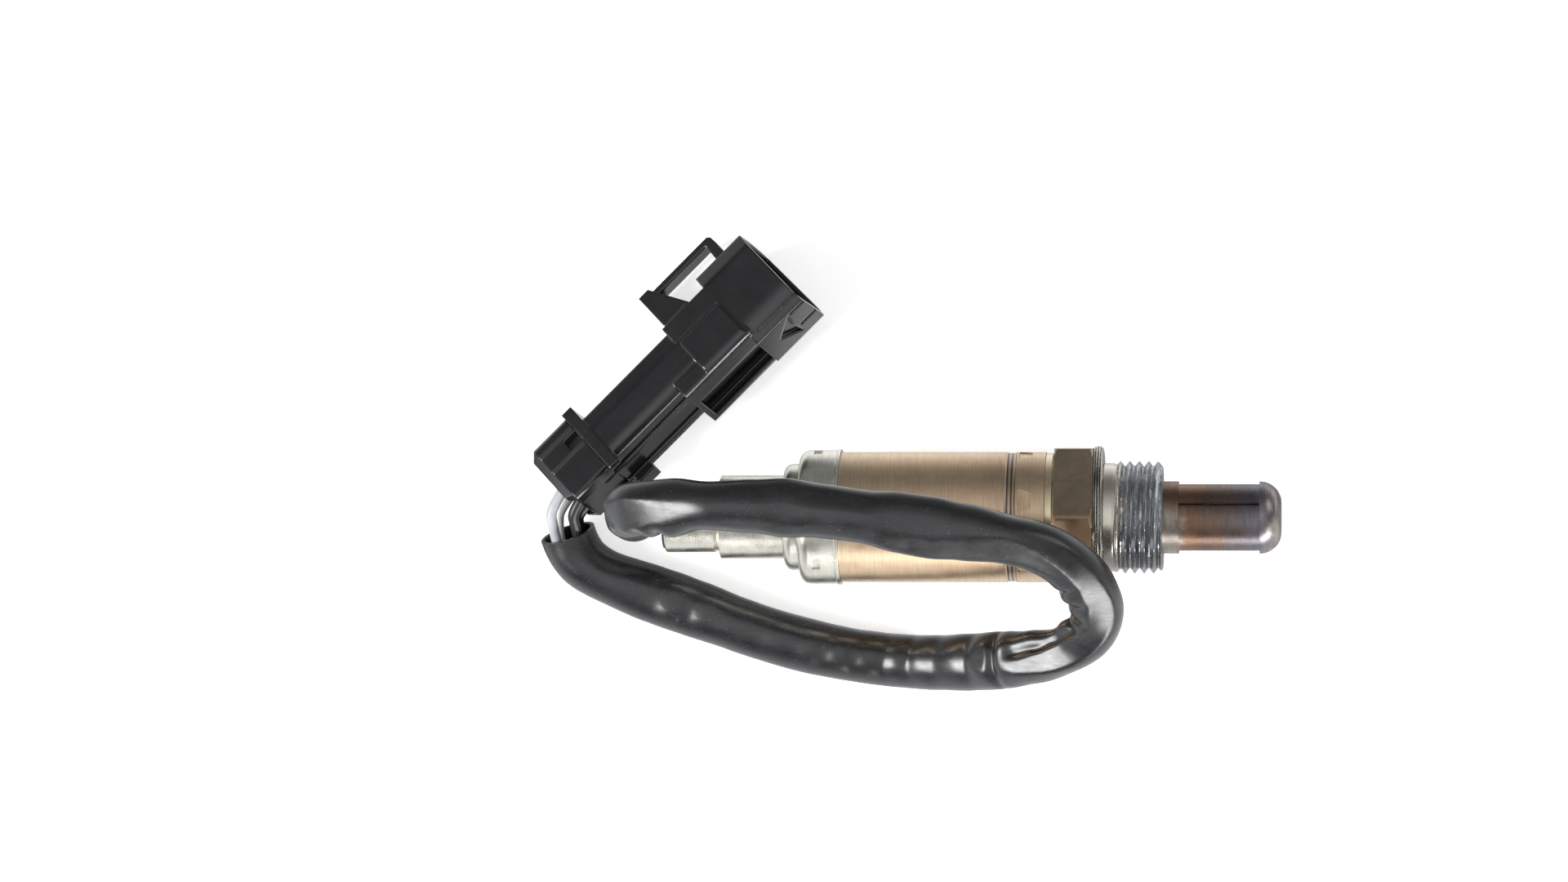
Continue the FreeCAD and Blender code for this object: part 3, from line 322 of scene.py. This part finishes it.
def plastic(name, dark, light, rough, grain, dust, bevel=0.0, shine=0.5, tooth=0.12):
    """Moulded plastic, rubber or vinyl with a fine grain, scuffs and a little dust."""
    paint = Paint(name)
    cloud = paint.noise(0.25, 4.0, 0.6)
    fine = paint.noise(grain, 3.0, 0.6)
    scuff = paint.noise(1.0, 4.0, 0.65, paint.stretched(0.5, 3.0, 0.8, 0.6), 0.4)
    specks = paint.ramp(paint.noise(3.2, 2.0, 0.5), (0.66, 0.0), (0.74, 1.0))
    colour = paint.mix(paint.maths("MULTIPLY", specks, dust),
                       paint.between(cloud, dark, light), tone(0.62, 0.63, 0.65))
    rounded = None
    if bevel:
        node = paint.add("Bevel", {"Radius": bevel * MM})
        node.samples = 16
        rounded = node.outputs[0]
    return paint.finish({
        "Base Color": colour, "Specular IOR Level": shine,
        "Roughness": paint.span(paint.maths("ADD", scuff, cloud), 0.8, 1.25, *rough),
        "Normal": paint.bump(fine, tooth, 0.04, rounded)})


def mineral(name, dark, light, rough, grain):
    """Fired ceramic or pressed powder."""
    paint = Paint(name)
    cloud = paint.noise(grain, 5.0, 0.65)
    return paint.finish({
        "Base Color": paint.between(cloud, dark, light),
        "Roughness": paint.span(cloud, 0.3, 0.7, rough - 0.08, rough + 0.08),
        "Normal": paint.bump(cloud, 0.25, 0.05)})


# Slot, dark and light tone, range of roughness, fineness of the lines, height of the pits, tint
METALS = (
    ("gasket_steel", (0.72, 0.71, 0.68), (0.84, 0.83, 0.80), (0.20, 0.32), 9.0, 0.1, None),
    ("tube_steel", (0.50, 0.44, 0.40), (0.60, 0.56, 0.52), (0.26, 0.42), 3.0, 0.5, tube_tint),
    ("tinted_steel", (0.78, 0.71, 0.62), (0.88, 0.81, 0.72), (0.30, 0.44), 20.0, 0.5, outer_tint),
    ("bright_steel", (0.87, 0.86, 0.81), (0.95, 0.94, 0.90), (0.24, 0.38), 16.0, 0.4, None),
    ("spring_steel", (0.60, 0.60, 0.60), (0.70, 0.70, 0.70), (0.25, 0.45), 26.0, 0.35, None),
    ("contact_metal", (0.72, 0.70, 0.65), (0.80, 0.78, 0.73), (0.25, 0.45), 26.0, 0.35, None),
    ("terminal_metal", (0.78, 0.75, 0.68), (0.86, 0.83, 0.75), (0.20, 0.30), 26.0, 0.35, None))
# Slot, dark and light tone, roughness, fineness of the grain
MINERALS = (
    ("zirconia", (0.86, 0.84, 0.78), (0.93, 0.92, 0.88), 0.8, 4.0),
    ("ceramic_white", (0.88, 0.87, 0.84), (0.94, 0.93, 0.90), 0.8, 4.0),
    ("powder", (0.74, 0.72, 0.68), (0.86, 0.85, 0.80), 0.9, 8.0))
# Slot, dark and light tone, range of roughness, grain, dust; then rounding of the edges, shine
# and height of the grain where they differ from the usual
PLASTICS = (
    ("grommet_rubber", (0.11, 0.11, 0.11), (0.17, 0.17, 0.17), (0.60, 0.75), 7.0, 0.3),
    ("seal_rubber", (0.16, 0.26, 0.36), (0.20, 0.32, 0.42), (0.50, 0.60), 7.0, 0.1),
    ("plug_plastic", (0.04, 0.04, 0.05), (0.07, 0.07, 0.08), (0.18, 0.26), 3.0, 0.04,
     0.6, 0.9, 0.012),
    ("sleeve_plastic", (0.05, 0.05, 0.06), (0.09, 0.09, 0.10), (0.27, 0.36), 4.0, 0.2,
     0.0, 0.84, 0.04),
    ("lead_black", (0.10, 0.10, 0.11), (0.15, 0.15, 0.16), (0.34, 0.44), 6.0, 0.1),
    ("lead_grey", (0.66, 0.67, 0.69), (0.75, 0.76, 0.77), (0.36, 0.46), 6.0, 0.1),
    ("lead_white", (0.86, 0.86, 0.85), (0.92, 0.92, 0.91), (0.36, 0.46), 6.0, 0.1))

FINISHES = {"shell_steel": shell_finish()}
for maker, rows in ((brushed, METALS), (mineral, MINERALS), (plastic, PLASTICS)):
    for slot, dark, light, *rest in rows:
        FINISHES[slot] = maker(slot, tone(*dark), tone(*light), *rest)


def add_mesh(name, vertices, faces, finish, corner):
    """A piece in mesh code; edges sharper than the corner's angle, in degrees, stay sharp."""
    mesh = bpy.data.meshes.new(name)
    mesh.from_pydata([tuple(vertex) for vertex in vertices], [], faces)
    mesh.validate()
    mesh.polygons.foreach_set("use_smooth", [True] * len(mesh.polygons))
    mesh.set_sharp_from_angle(angle=math.radians(corner))
    mesh.update()
    mesh.materials.append(FINISHES[finish])
    piece = bpy.data.objects.new(name, mesh)
    scene.collection.objects.link(piece)
    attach(piece, "root")
    return piece


# Cable sleeve: a soft tube on the route's curve, flattened, twisted and wrinkled. Its tables
# give places along it in millimetres for a length of 200 mm, and turns in degrees from the top.
TABLE_LENGTH = 200.0
SLEEVE_SIDES = 96             # corners of a ring
RING_GAP = 0.4                # between rings, in millimetres
SLEEVE_WALL = 0.6
LINING = 9.0                  # how far the inner skin goes in from each end
SLEEVE_LOWEST = FLOOR + 0.05 * MM
SLEEVE_HIGHEST = 29.7 * MM
REACHED = 3.0                 # a shape ends at so many times its length
FLAT_EDGE = 0.2               # rounding of a flat's edges, in millimetres


def carried_frames(line):
    """Two directions across the line at each point, carried along without twist."""
    frames = []
    side = Vector((0.0, 1.0, 0.0))
    for i in range(len(line)):
        along = (line[min(i + 1, len(line) - 1)] - line[max(i - 1, 0)]).normalized()
        side = (side - along * side.dot(along)).normalized()
        frames.append((side.copy(), along.cross(side)))
    return frames


def bumped(value, centre, width):
    return math.exp(-((value - centre) / width) ** 2)


def apart(turn, angle):
    """The signed difference of two turns, in degrees."""
    return (turn - angle + 180.0) % 360.0 - 180.0


# Seen from above the sleeve is wider or narrower than round: place, share of its width
SLEEVE_SPREAD = (
    (0, 0.0), (14, 0.0), (22, 0.04), (28, -0.11), (35, -0.02), (40, 0.07), (45, -0.01),
    (52, -0.04), (58, 0.08), (63, 0.11), (68, 0.03), (75, -0.13), (82, -0.06), (90, 0.0),
    (95, -0.04), (100, -0.09), (108, -0.13), (114, -0.02), (120, 0.08), (127, 0.07),
    (133, 0.03), (140, 0.0), (150, 0.01), (160, 0.02), (168, 0.03), (175, 0.09), (182, 0.09),
    (190, 0.0), (200, 0.05))

# Swellings and creases: place, turn towards the loop's inside, length, spread round the
# sleeve, height
SLEEVE_SHAPES = (
    (12.5, 75, 1.0, 40, -0.45), (16.0, 80, 1.0, 34, -0.55), (19.4, 85, 1.1, 30, -0.5),
    (17.8, 82, 1.0, 30, 0.25), (21.5, 84, 1.3, 28, 0.2), (25.5, 88, 2.2, 34, -0.35),
    (24.0, -60, 5.0, 50, 0.18), (38.0, 50, 7.0, 45, 0.12), (60.0, 62, 9.0, 34, 0.35),
    (66.0, 5, 12.0, 26, -0.16), (77.0, 28, 10.0, 20, -0.35), (74.0, 75, 5.0, 30, 0.28),
    (86.0, 40, 8.0, 22, -0.22), (88.0, 88, 0.8, 44, -0.5), (90.2, 86, 0.9, 40, 0.3),
    (92.2, 84, 0.7, 40, -0.75), (94.6, 84, 1.0, 38, 0.35), (97.0, 82, 0.7, 42, -0.8),
    (99.3, 80, 1.0, 36, 0.3), (101.3, 78, 0.8, 40, -0.7), (104.8, 70, 2.6, 30, 0.75),
    (103.0, 42, 2.8, 15, -0.8), (107.5, 34, 2.8, 15, -1.15), (111.5, 24, 2.8, 15, -1.25),
    (115.2, 14, 2.4, 17, -1.0), (108.0, -14, 5.5, 26, 0.35), (113.5, 62, 2.6, 30, 0.3),
    (116.0, -6, 4.6, 44, 0.4), (117.8, 30, 1.3, 26, 0.55), (119.6, 5, 0.75, 60, -0.85),
    (121.8, 14, 1.8, 44, 0.6), (125.0, 10, 1.3, 60, -0.34), (128.2, 12, 1.9, 55, 0.18),
    (131.7, 10, 1.3, 60, -0.18), (134.6, 10, 1.7, 55, 0.16), (137.2, 12, 1.1, 60, -0.17),
    (139.8, 10, 1.6, 55, 0.16), (142.4, 12, 1.1, 60, -0.18), (145.0, 10, 1.5, 55, 0.18),
    (147.6, 12, 1.1, 58, -0.22), (150.0, 10, 1.5, 48, 0.2), (152.5, 12, 1.2, 50, -0.22),
    (155.0, 10, 1.8, 40, 0.2), (160.2, 10, 2.0, 34, 0.16), (167.6, 8, 2.4, 34, 0.16),
    (173.0, 12, 1.8, 34, 0.26), (175.4, 10, 1.4, 65, -0.24), (178.2, 10, 1.9, 65, 0.38),
    (181.0, 10, 1.6, 45, -0.14), (190.0, 50, 3.0, 40, -0.25), (194.0, -20, 3.0, 40, 0.15))

# Flats pressed into the sleeve: place, turn, length, depth as a share of the radius
SLEEVE_FLATS = (
    (14.8, 12, 7.2, 0.19), (43.0, -30, 9.0, 0.05), (71.0, 34, 11.0, 0.12), (92.0, -2, 9.0, 0.10),
    (109.5, 0, 6.0, 0.08), (122.5, 8, 2.6, 0.05), (178.0, 4, 6.0, 0.05))


def spread_at(t):
    """The spread at a place, eased from one row of the table to the next."""
    for (first, low), (second, high) in zip(SLEEVE_SPREAD, SLEEVE_SPREAD[1:]):
        if t <= second:
            share = (t - first) / (second - first)
            share = share * share * (3.0 - 2.0 * share)
            return low + (high - low) * share
    return SLEEVE_SPREAD[-1][1]


def sleeve_reach(t, turn):
    """Distance of the skin from the middle, in millimetres, by the sleeve's tables."""
    radius = SHEATH_DIAMETER / 2.0
    reach = radius * (1.0 - spread_at(t) * math.cos(math.radians(2.0 * turn)))
    for place, angle, length, spread, height in SLEEVE_SHAPES:
        if abs(t - place) < REACHED * length:
            reach += height * bumped(t, place, length) * bumped(apart(turn, angle), 0.0, spread)
    for place, angle, length, depth in SLEEVE_FLATS:
        facing = math.cos(math.radians(apart(turn, angle)))
        if abs(t - place) < REACHED * length and facing > 0.4:
            here = bumped(t, place, length)
            over = reach - radius * (1.0 - depth * here) / facing
            if over > -FLAT_EDGE:
                reach -= 0.5 * (over + math.hypot(over, FLAT_EDGE)) * min(1.0, 3.0 * here)
    return reach


def sleeve_steps(line):
    """Places a ring's gap apart: middle, directions across, distance in millimetres."""
    frames = carried_frames(line)
    steps = []
    start = 0.0
    for i in range(len(line) - 1):
        end = start + (line[i + 1] - line[i]).length / MM
        gap = end - start
        parts = max(1, round(gap / RING_GAP))
        for k in range(parts):
            share = k / parts
            across = [a.lerp(b, share).normalized() for a, b in zip(frames[i], frames[i + 1])]
            steps.append((line[i].lerp(line[i + 1], share), across, start + gap * share))
        start = end
    steps.append((line[-1], frames[-1], start))
    return steps


def cable_sleeve():
    line = route_line((SHEATH_START, LEAD_OUT[1]) + SHEATH_ROUTE + (SHEATH_END,))
    steps = sleeve_steps(line)
    total = steps[-1][2]
    stretch = TABLE_LENGTH / total
    vertices = []
    faces = []

    def ring(step, depth):
        """The skin round one place, or the lining when it lies deeper."""
        point, (side, lift), t = step
        upright = math.hypot(lift.z, side.z) > 0.3
        top = math.atan2(lift.z, side.z) if upright else math.pi / 2.0
        for k in range(SLEEVE_SIDES):
            angle = math.tau * k / SLEEVE_SIDES
            out = side * math.cos(angle) + lift * math.sin(angle)
            reach = sleeve_reach(t * stretch, math.degrees(angle - top))
            place = point + out * (reach * MM)
            reach += 0.08 * noise.noise(place * 110.0) + 0.03 * noise.noise(place * 280.0)
            reach += 0.008 * noise.noise(place * 800.0)
            spot = point + out * ((reach - depth) * MM)
            spot.z = min(max(spot.z, SLEEVE_LOWEST), SLEEVE_HIGHEST)
            vertices.append(spot)
        return range(len(vertices) - SLEEVE_SIDES, len(vertices))

    def join(first, second):
        for k in range(SLEEVE_SIDES):
            following = (k + 1) % SLEEVE_SIDES
            faces.append((first[k], first[following], second[following], second[k]))

    rings = [ring(step, 0.0) for step in steps]
    rings += [ring(step, SLEEVE_WALL) for step in reversed(steps) if step[2] > total - LINING]
    for first, second in zip(rings, rings[1:]):
        join(first, second)
    previous = rings[0]
    for step in steps:
        if step[2] < LINING:
            inner = ring(step, SLEEVE_WALL)
            join(inner, previous)
            previous = inner
    piece = add_mesh("cable_sleeve_wrinkled", vertices, faces, "sleeve_plastic", 70.0)
    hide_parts("cable_sleeve")


# The four leads, each from its ferrule to its terminal
PLUG_HALF = 1.8               # half the pitch of the plug's ways
UPPER = PLUG_HALF - 0.75
LOWER = -PLUG_HALF - 0.75
PLUG_DEPTH = 16.5             # how far into the plug the leads go
# Node, slot, seat in the plug, where the lead straightens before it, length in metres
LEADS = (
    ("wire_black_1", "lead_black", (LOWER, -PLUG_HALF), -0.5, 0.2254),
    ("wire_white", "lead_white", (UPPER, -PLUG_HALF), -1.6, 0.2524),
    ("wire_grey", "lead_grey", (UPPER, PLUG_HALF), -2.4, 0.2476),
    ("wire_black_2", "lead_black", (LOWER, PLUG_HALF), -0.3, 0.2199))


def leads():
    spoke = WIRE_PITCH / math.sqrt(2.0)
    for hole, (name, finish, seat, bend, length) in enumerate(LEADS):
        angle = math.radians(45.0 + 90.0 * hole)
        offset = (0.0, spoke * math.sin(angle), spoke * math.cos(angle))
        points = beside(LEAD_START + LEAD_OUT + SHEATH_ROUTE + (SHEATH_END,), offset)
        points += [in_plug(bend, *seat), in_plug(PLUG_DEPTH, *seat)]
        curve = nurbs(name + "_lead", points)
        curve.bevel_depth = WIRE_DIAMETER / 2.0 * MM
        curve.bevel_resolution = 6
        curve.use_fill_caps = True
        curve.materials.append(FINISHES[finish])
        piece = bpy.data.objects.new(name + "_lead", curve)
        scene.collection.objects.link(piece)
        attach(piece, "root")
        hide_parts(name)


cable_sleeve()
leads()


# Skins turned round the axis, in millimetres
def turned_skin(name, stations, angles, finish, corner, closed=False):
    """A skin through stations: each is a place along the axis and a radius, or its function."""
    vertices = []
    for x, radius in stations:
        for angle in angles:
            reach = radius(angle) if callable(radius) else radius
            vertices.append((x * MM, reach * math.sin(angle) * MM, reach * math.cos(angle) * MM))
    count = len(angles)
    faces = []
    for row in range(len(stations) - (0 if closed else 1)):
        after = (row + 1) % len(stations)
        for k in range(count):
            following = (k + 1) % count
            faces.append((row * count + k, row * count + following,
                          after * count + following, after * count + k))
    return add_mesh(name, vertices, faces, finish, corner)


FLAT_HALF = 11.0              # hexagon of 22 mm across its flats
HEX_CORNER = FLAT_HALF / math.cos(math.radians(30.0))
HEX_SOFT = HEX_CORNER - 0.22  # beyond it the hexagon's corners are worn
WORN = 0.45
BEVEL_START = HEX_CORNER - 0.75
BEVEL_SLOPE = 1.6
COLLAR = 10.2
SHANK = 8.2
THREAD_PITCH = 1.5
THREAD_ROOT = 8.05
THREAD_HEIGHT = 0.95
THREAD_CREST = 9.0
THREAD_END = 9.38
THREAD_RELIEF = 8.62          # radius before the first ridge
PASTE_LEVEL = 8.12            # paste fills the valleys at least to here
TUBE_HOLE = 5.83


def hexagon(angle):
    turn = (angle % math.radians(60.0)) - math.radians(30.0)
    side = FLAT_HALF / math.cos(turn)
    return side if side < HEX_SOFT else HEX_SOFT + (side - HEX_SOFT) * WORN


def bevelled(depth):
    cone = BEVEL_START + BEVEL_SLOPE * depth
    return lambda angle: min(hexagon(angle), cone)


def thread(x):
    """Radius of the helical ridges at a place, with paste smeared in their valleys."""
    def radius(angle):
        around = (math.sin(angle), math.cos(angle))
        phase = (x / THREAD_PITCH - angle / math.tau) % 1.0
        tooth = 1.0 - abs(2.0 * phase - 1.0)
        tooth = tooth * tooth * (3.0 - 2.0 * tooth) * 0.25 + tooth * 0.75
        place = Vector((x * 0.9, around[0] * 2.2, around[1] * 2.2))
        smear = noise.noise(place) + 0.5 * noise.noise(place * 2.7)
        reach = THREAD_ROOT + THREAD_HEIGHT * tooth
        reach = max(reach, PASTE_LEVEL + 0.26 * max(0.0, smear))
        reach -= 0.05 * max(0.0, noise.noise(place * 4.3)) * tooth
        reach += 0.012 * noise.noise(Vector((x * 5.0, around[0] * 9.0, around[1] * 9.0)))
        run_in = min(1.0, max(0.0, (x - 1.5) / 1.3))
        reach = THREAD_RELIEF * (1.0 - run_in) + reach * run_in
        run_out = min(1.0, max(0.0, (x - 8.5) / 0.9))
        return min(reach, THREAD_CREST - 0.75 * run_out)
    return radius


def threaded_shell():
    """Collar, hexagon, shank and helical thread of the shell."""
    angles = []
    for flat in range(6):
        for step in range(60):
            angles.append(60.0 * flat + step)
            if step < 2 or step > 57:
                angles.append(60.0 * flat + step + 0.5)
    angles = [math.radians(a) for a in angles]
    stations = [(-15.2, 9.74), (-9.17, 9.74), (-9.17, 10.0), (-9.1, 10.16), (-8.85, COLLAR),
                (-8.05, COLLAR), (-7.85, 10.1), (-7.7, 10.1)]
    stations += [(-7.7 + 0.1 * step, bevelled(0.1 * step)) for step in range(6)]
    stations += [(-7.2 + 5.13 * step / 8.0, hexagon) for step in range(1, 8)]
    stations += [(-2.07 + 0.1 * step, bevelled(0.5 - 0.1 * step)) for step in range(6)]
    stations += [(-1.57, SHANK), (-0.02, SHANK), (-0.02, 8.5), (0.1, THREAD_RELIEF)]
    x = 0.2
    while x < THREAD_END:
        stations.append((x, thread(x)))
        x += 0.075
    stations += [(9.4, 8.1), (9.4, TUBE_HOLE), (8.7, TUBE_HOLE)]
    piece = turned_skin("threaded_shell", stations, angles, "shell_steel", 24.0)
    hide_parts("sensor_shell")


def folded_gasket():
    """Crush gasket rolled from sheet: the folds show as fine rings on its rim."""
    angles = [math.radians(2.0 * k) for k in range(180)]
    profile = (
        (-1.56, 8.6), (-1.56, 10.7), (-1.52, 11.05), (-1.42, 11.26), (-1.30, 11.30),
        (-1.22, 11.20), (-1.17, 10.95), (-1.12, 11.24), (-1.02, 11.40), (-0.88, 11.41),
        (-0.80, 11.28), (-0.76, 11.0), (-0.72, 11.30), (-0.62, 11.43), (-0.48, 11.41),
        (-0.41, 11.24), (-0.37, 10.98), (-0.32, 11.16), (-0.22, 11.20), (-0.10, 11.04),
        (-0.03, 10.75), (-0.01, 10.4), (-0.01, 8.6))

    def wavy(x, reach):
        """The rim is a little uneven; the bore stays round."""
        if reach < 10.0:
            return reach
        return lambda angle: reach + 0.015 * noise.noise(
            Vector((x * 1.5, math.sin(angle) * 4.0, math.cos(angle) * 4.0)))

    stations = [(x, wavy(x, reach)) for x, reach in profile]
    piece = turned_skin("folded_gasket", stations, angles, "gasket_steel", 30.0, closed=True)
    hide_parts("gasket_ring")


threaded_shell()
folded_gasket()

# The CAD pieces that keep their shapes take their finishes
for part in frame["record"]["subparts"]:
    node = frame["nodes"][part["node"]]
    node.data.materials.clear()
    node.data.materials.append(FINISHES[part["material_slot"]])


# Floor, backdrop and light
FLOOR_EDGE = 1.2              # half the floor's side, in metres
FLOOR_SPAN = 0.16             # the floor's painted reflection differs as far as this to each side
SKY_TURN = 0.3                # the sky is the far side's from this share of a direction on
AIM = Vector((-0.03, 0.0, 0.0))


def levels(*stops):
    """Stops of a ramp in slightly cold light."""
    return [(position, (level * 0.97, level * 0.985, level, 1.0)) for position, level in stops]


def white_ground():
    """Floor that keeps the shadow; the first reflection sees a painted reflection instead: plain
    emitted light set by side, with painted shadow under the object and painted shade on the far
    side.
    """
    material = bpy.data.materials.new("ground")
    tree = Tree(material)
    path = tree.add("LightPath", {}).outputs
    shader = tree.nodes["Principled BSDF"]
    tree.fill(shader, {"Base Color": (0.9, 0.9, 0.9, 1.0), "Roughness": 0.9,
                       "Emission Color": WHITE,
                       "Emission Strength": tree.maths("MULTIPLY", path["Is Camera Ray"], 0.6)})
    place = tree.split(tree.add("TexCoord", {}).outputs["Object"])
    across = tree.span(place[1], -FLOOR_SPAN, FLOOR_SPAN)
    # Painted reflection: levels of the floor's glow by side for first glossy rays; the dip in the
    # middle is painted shadow under the object, and the darker far (+y) side is painted shade.
    light = tree.ramp(across, *levels(
        (0.0, 0.76), (0.11, 0.88), (0.33, 1.1), (0.44, 1.25), (0.49, 0.45), (0.53, 0.40),
        (0.565, 1.35), (0.63, 0.78), (0.77, 0.40), (1.0, 0.25)), ease="EASE")
    painted_reflection = tree.add("Emission", {"Color": light})
    first = tree.maths("LESS_THAN", path["Glossy Depth"], 1.5)
    seen = tree.maths("MULTIPLY", path["Is Glossy Ray"], first)
    mixed = tree.add("MixShader", {0: seen, 1: shader.outputs[0], 2: painted_reflection.outputs[0]})
    tree.fill(tree.nodes["Material Output"], {"Surface": mixed.outputs[0]})
    mesh = bpy.data.meshes.new("ground")
    mesh.from_pydata([(-FLOOR_EDGE, -FLOOR_EDGE, FLOOR), (FLOOR_EDGE, -FLOOR_EDGE, FLOOR),
                      (FLOOR_EDGE, FLOOR_EDGE, FLOOR), (-FLOOR_EDGE, FLOOR_EDGE, FLOOR)],
                     [], [(0, 1, 2, 3)])
    mesh.materials.append(material)
    ground = bpy.data.objects.new("ground", mesh)
    scene.collection.objects.link(ground)


def studio():
    """Light overhead and dark half way up; the horizon is light on the near side and dark on
    the far side. The camera sees plain white instead."""
    world = bpy.data.worlds.new("studio")
    scene.world = world
    tree = Tree(world)
    direction = tree.split(tree.add("TexCoord", {}).outputs["Generated"])
    near = tree.ramp(direction[2], *levels(
        (0.0, 0.76), (0.12, 0.64), (0.30, 0.28), (0.62, 0.18), (0.84, 0.50), (1.0, 0.98)),
        ease="EASE")
    far = tree.ramp(direction[2], *levels(
        (0.0, 0.24), (0.20, 0.18), (0.50, 0.20), (0.68, 0.40), (0.84, 0.58), (1.0, 0.98)),
        ease="EASE")
    side = tree.span(direction[1], 0.0, SKY_TURN)
    soft = tree.nodes["Background"]
    tree.fill(soft, {"Color": tree.mix(side, near, far), "Strength": 1.0})
    white = tree.add("Background", {"Color": WHITE, "Strength": 1.0})
    camera_ray = tree.add("LightPath", {}).outputs["Is Camera Ray"]
    mixed = tree.add("MixShader", {0: camera_ray, 1: soft.outputs[0], 2: white.outputs[0]})
    tree.fill(tree.nodes["World Output"], {"Surface": mixed.outputs[0]})


def softbox(name, place, size, power):
    """A rectangular lamp: place and size in metres, power in watts."""
    light = bpy.data.lights.new(name, "AREA")
    light.shape = "RECTANGLE"
    light.size, light.size_y = size
    light.energy = power
    lamp = bpy.data.objects.new(name, light)
    lamp.location = place
    lamp.rotation_euler = (AIM - Vector(place)).to_track_quat("-Z", "Y").to_euler()
    scene.collection.objects.link(lamp)


white_ground()
studio()
softbox("key", (-0.78, -0.20, 0.62), (0.50, 0.40), 10.6)
softbox("side", (0.44, -0.89, 0.30), (0.95, 0.32), 11.4)
softbox("fill", (0.80, 0.55, 0.45), (0.5, 0.5), 1.2)
scene.view_settings.view_transform = "Standard"
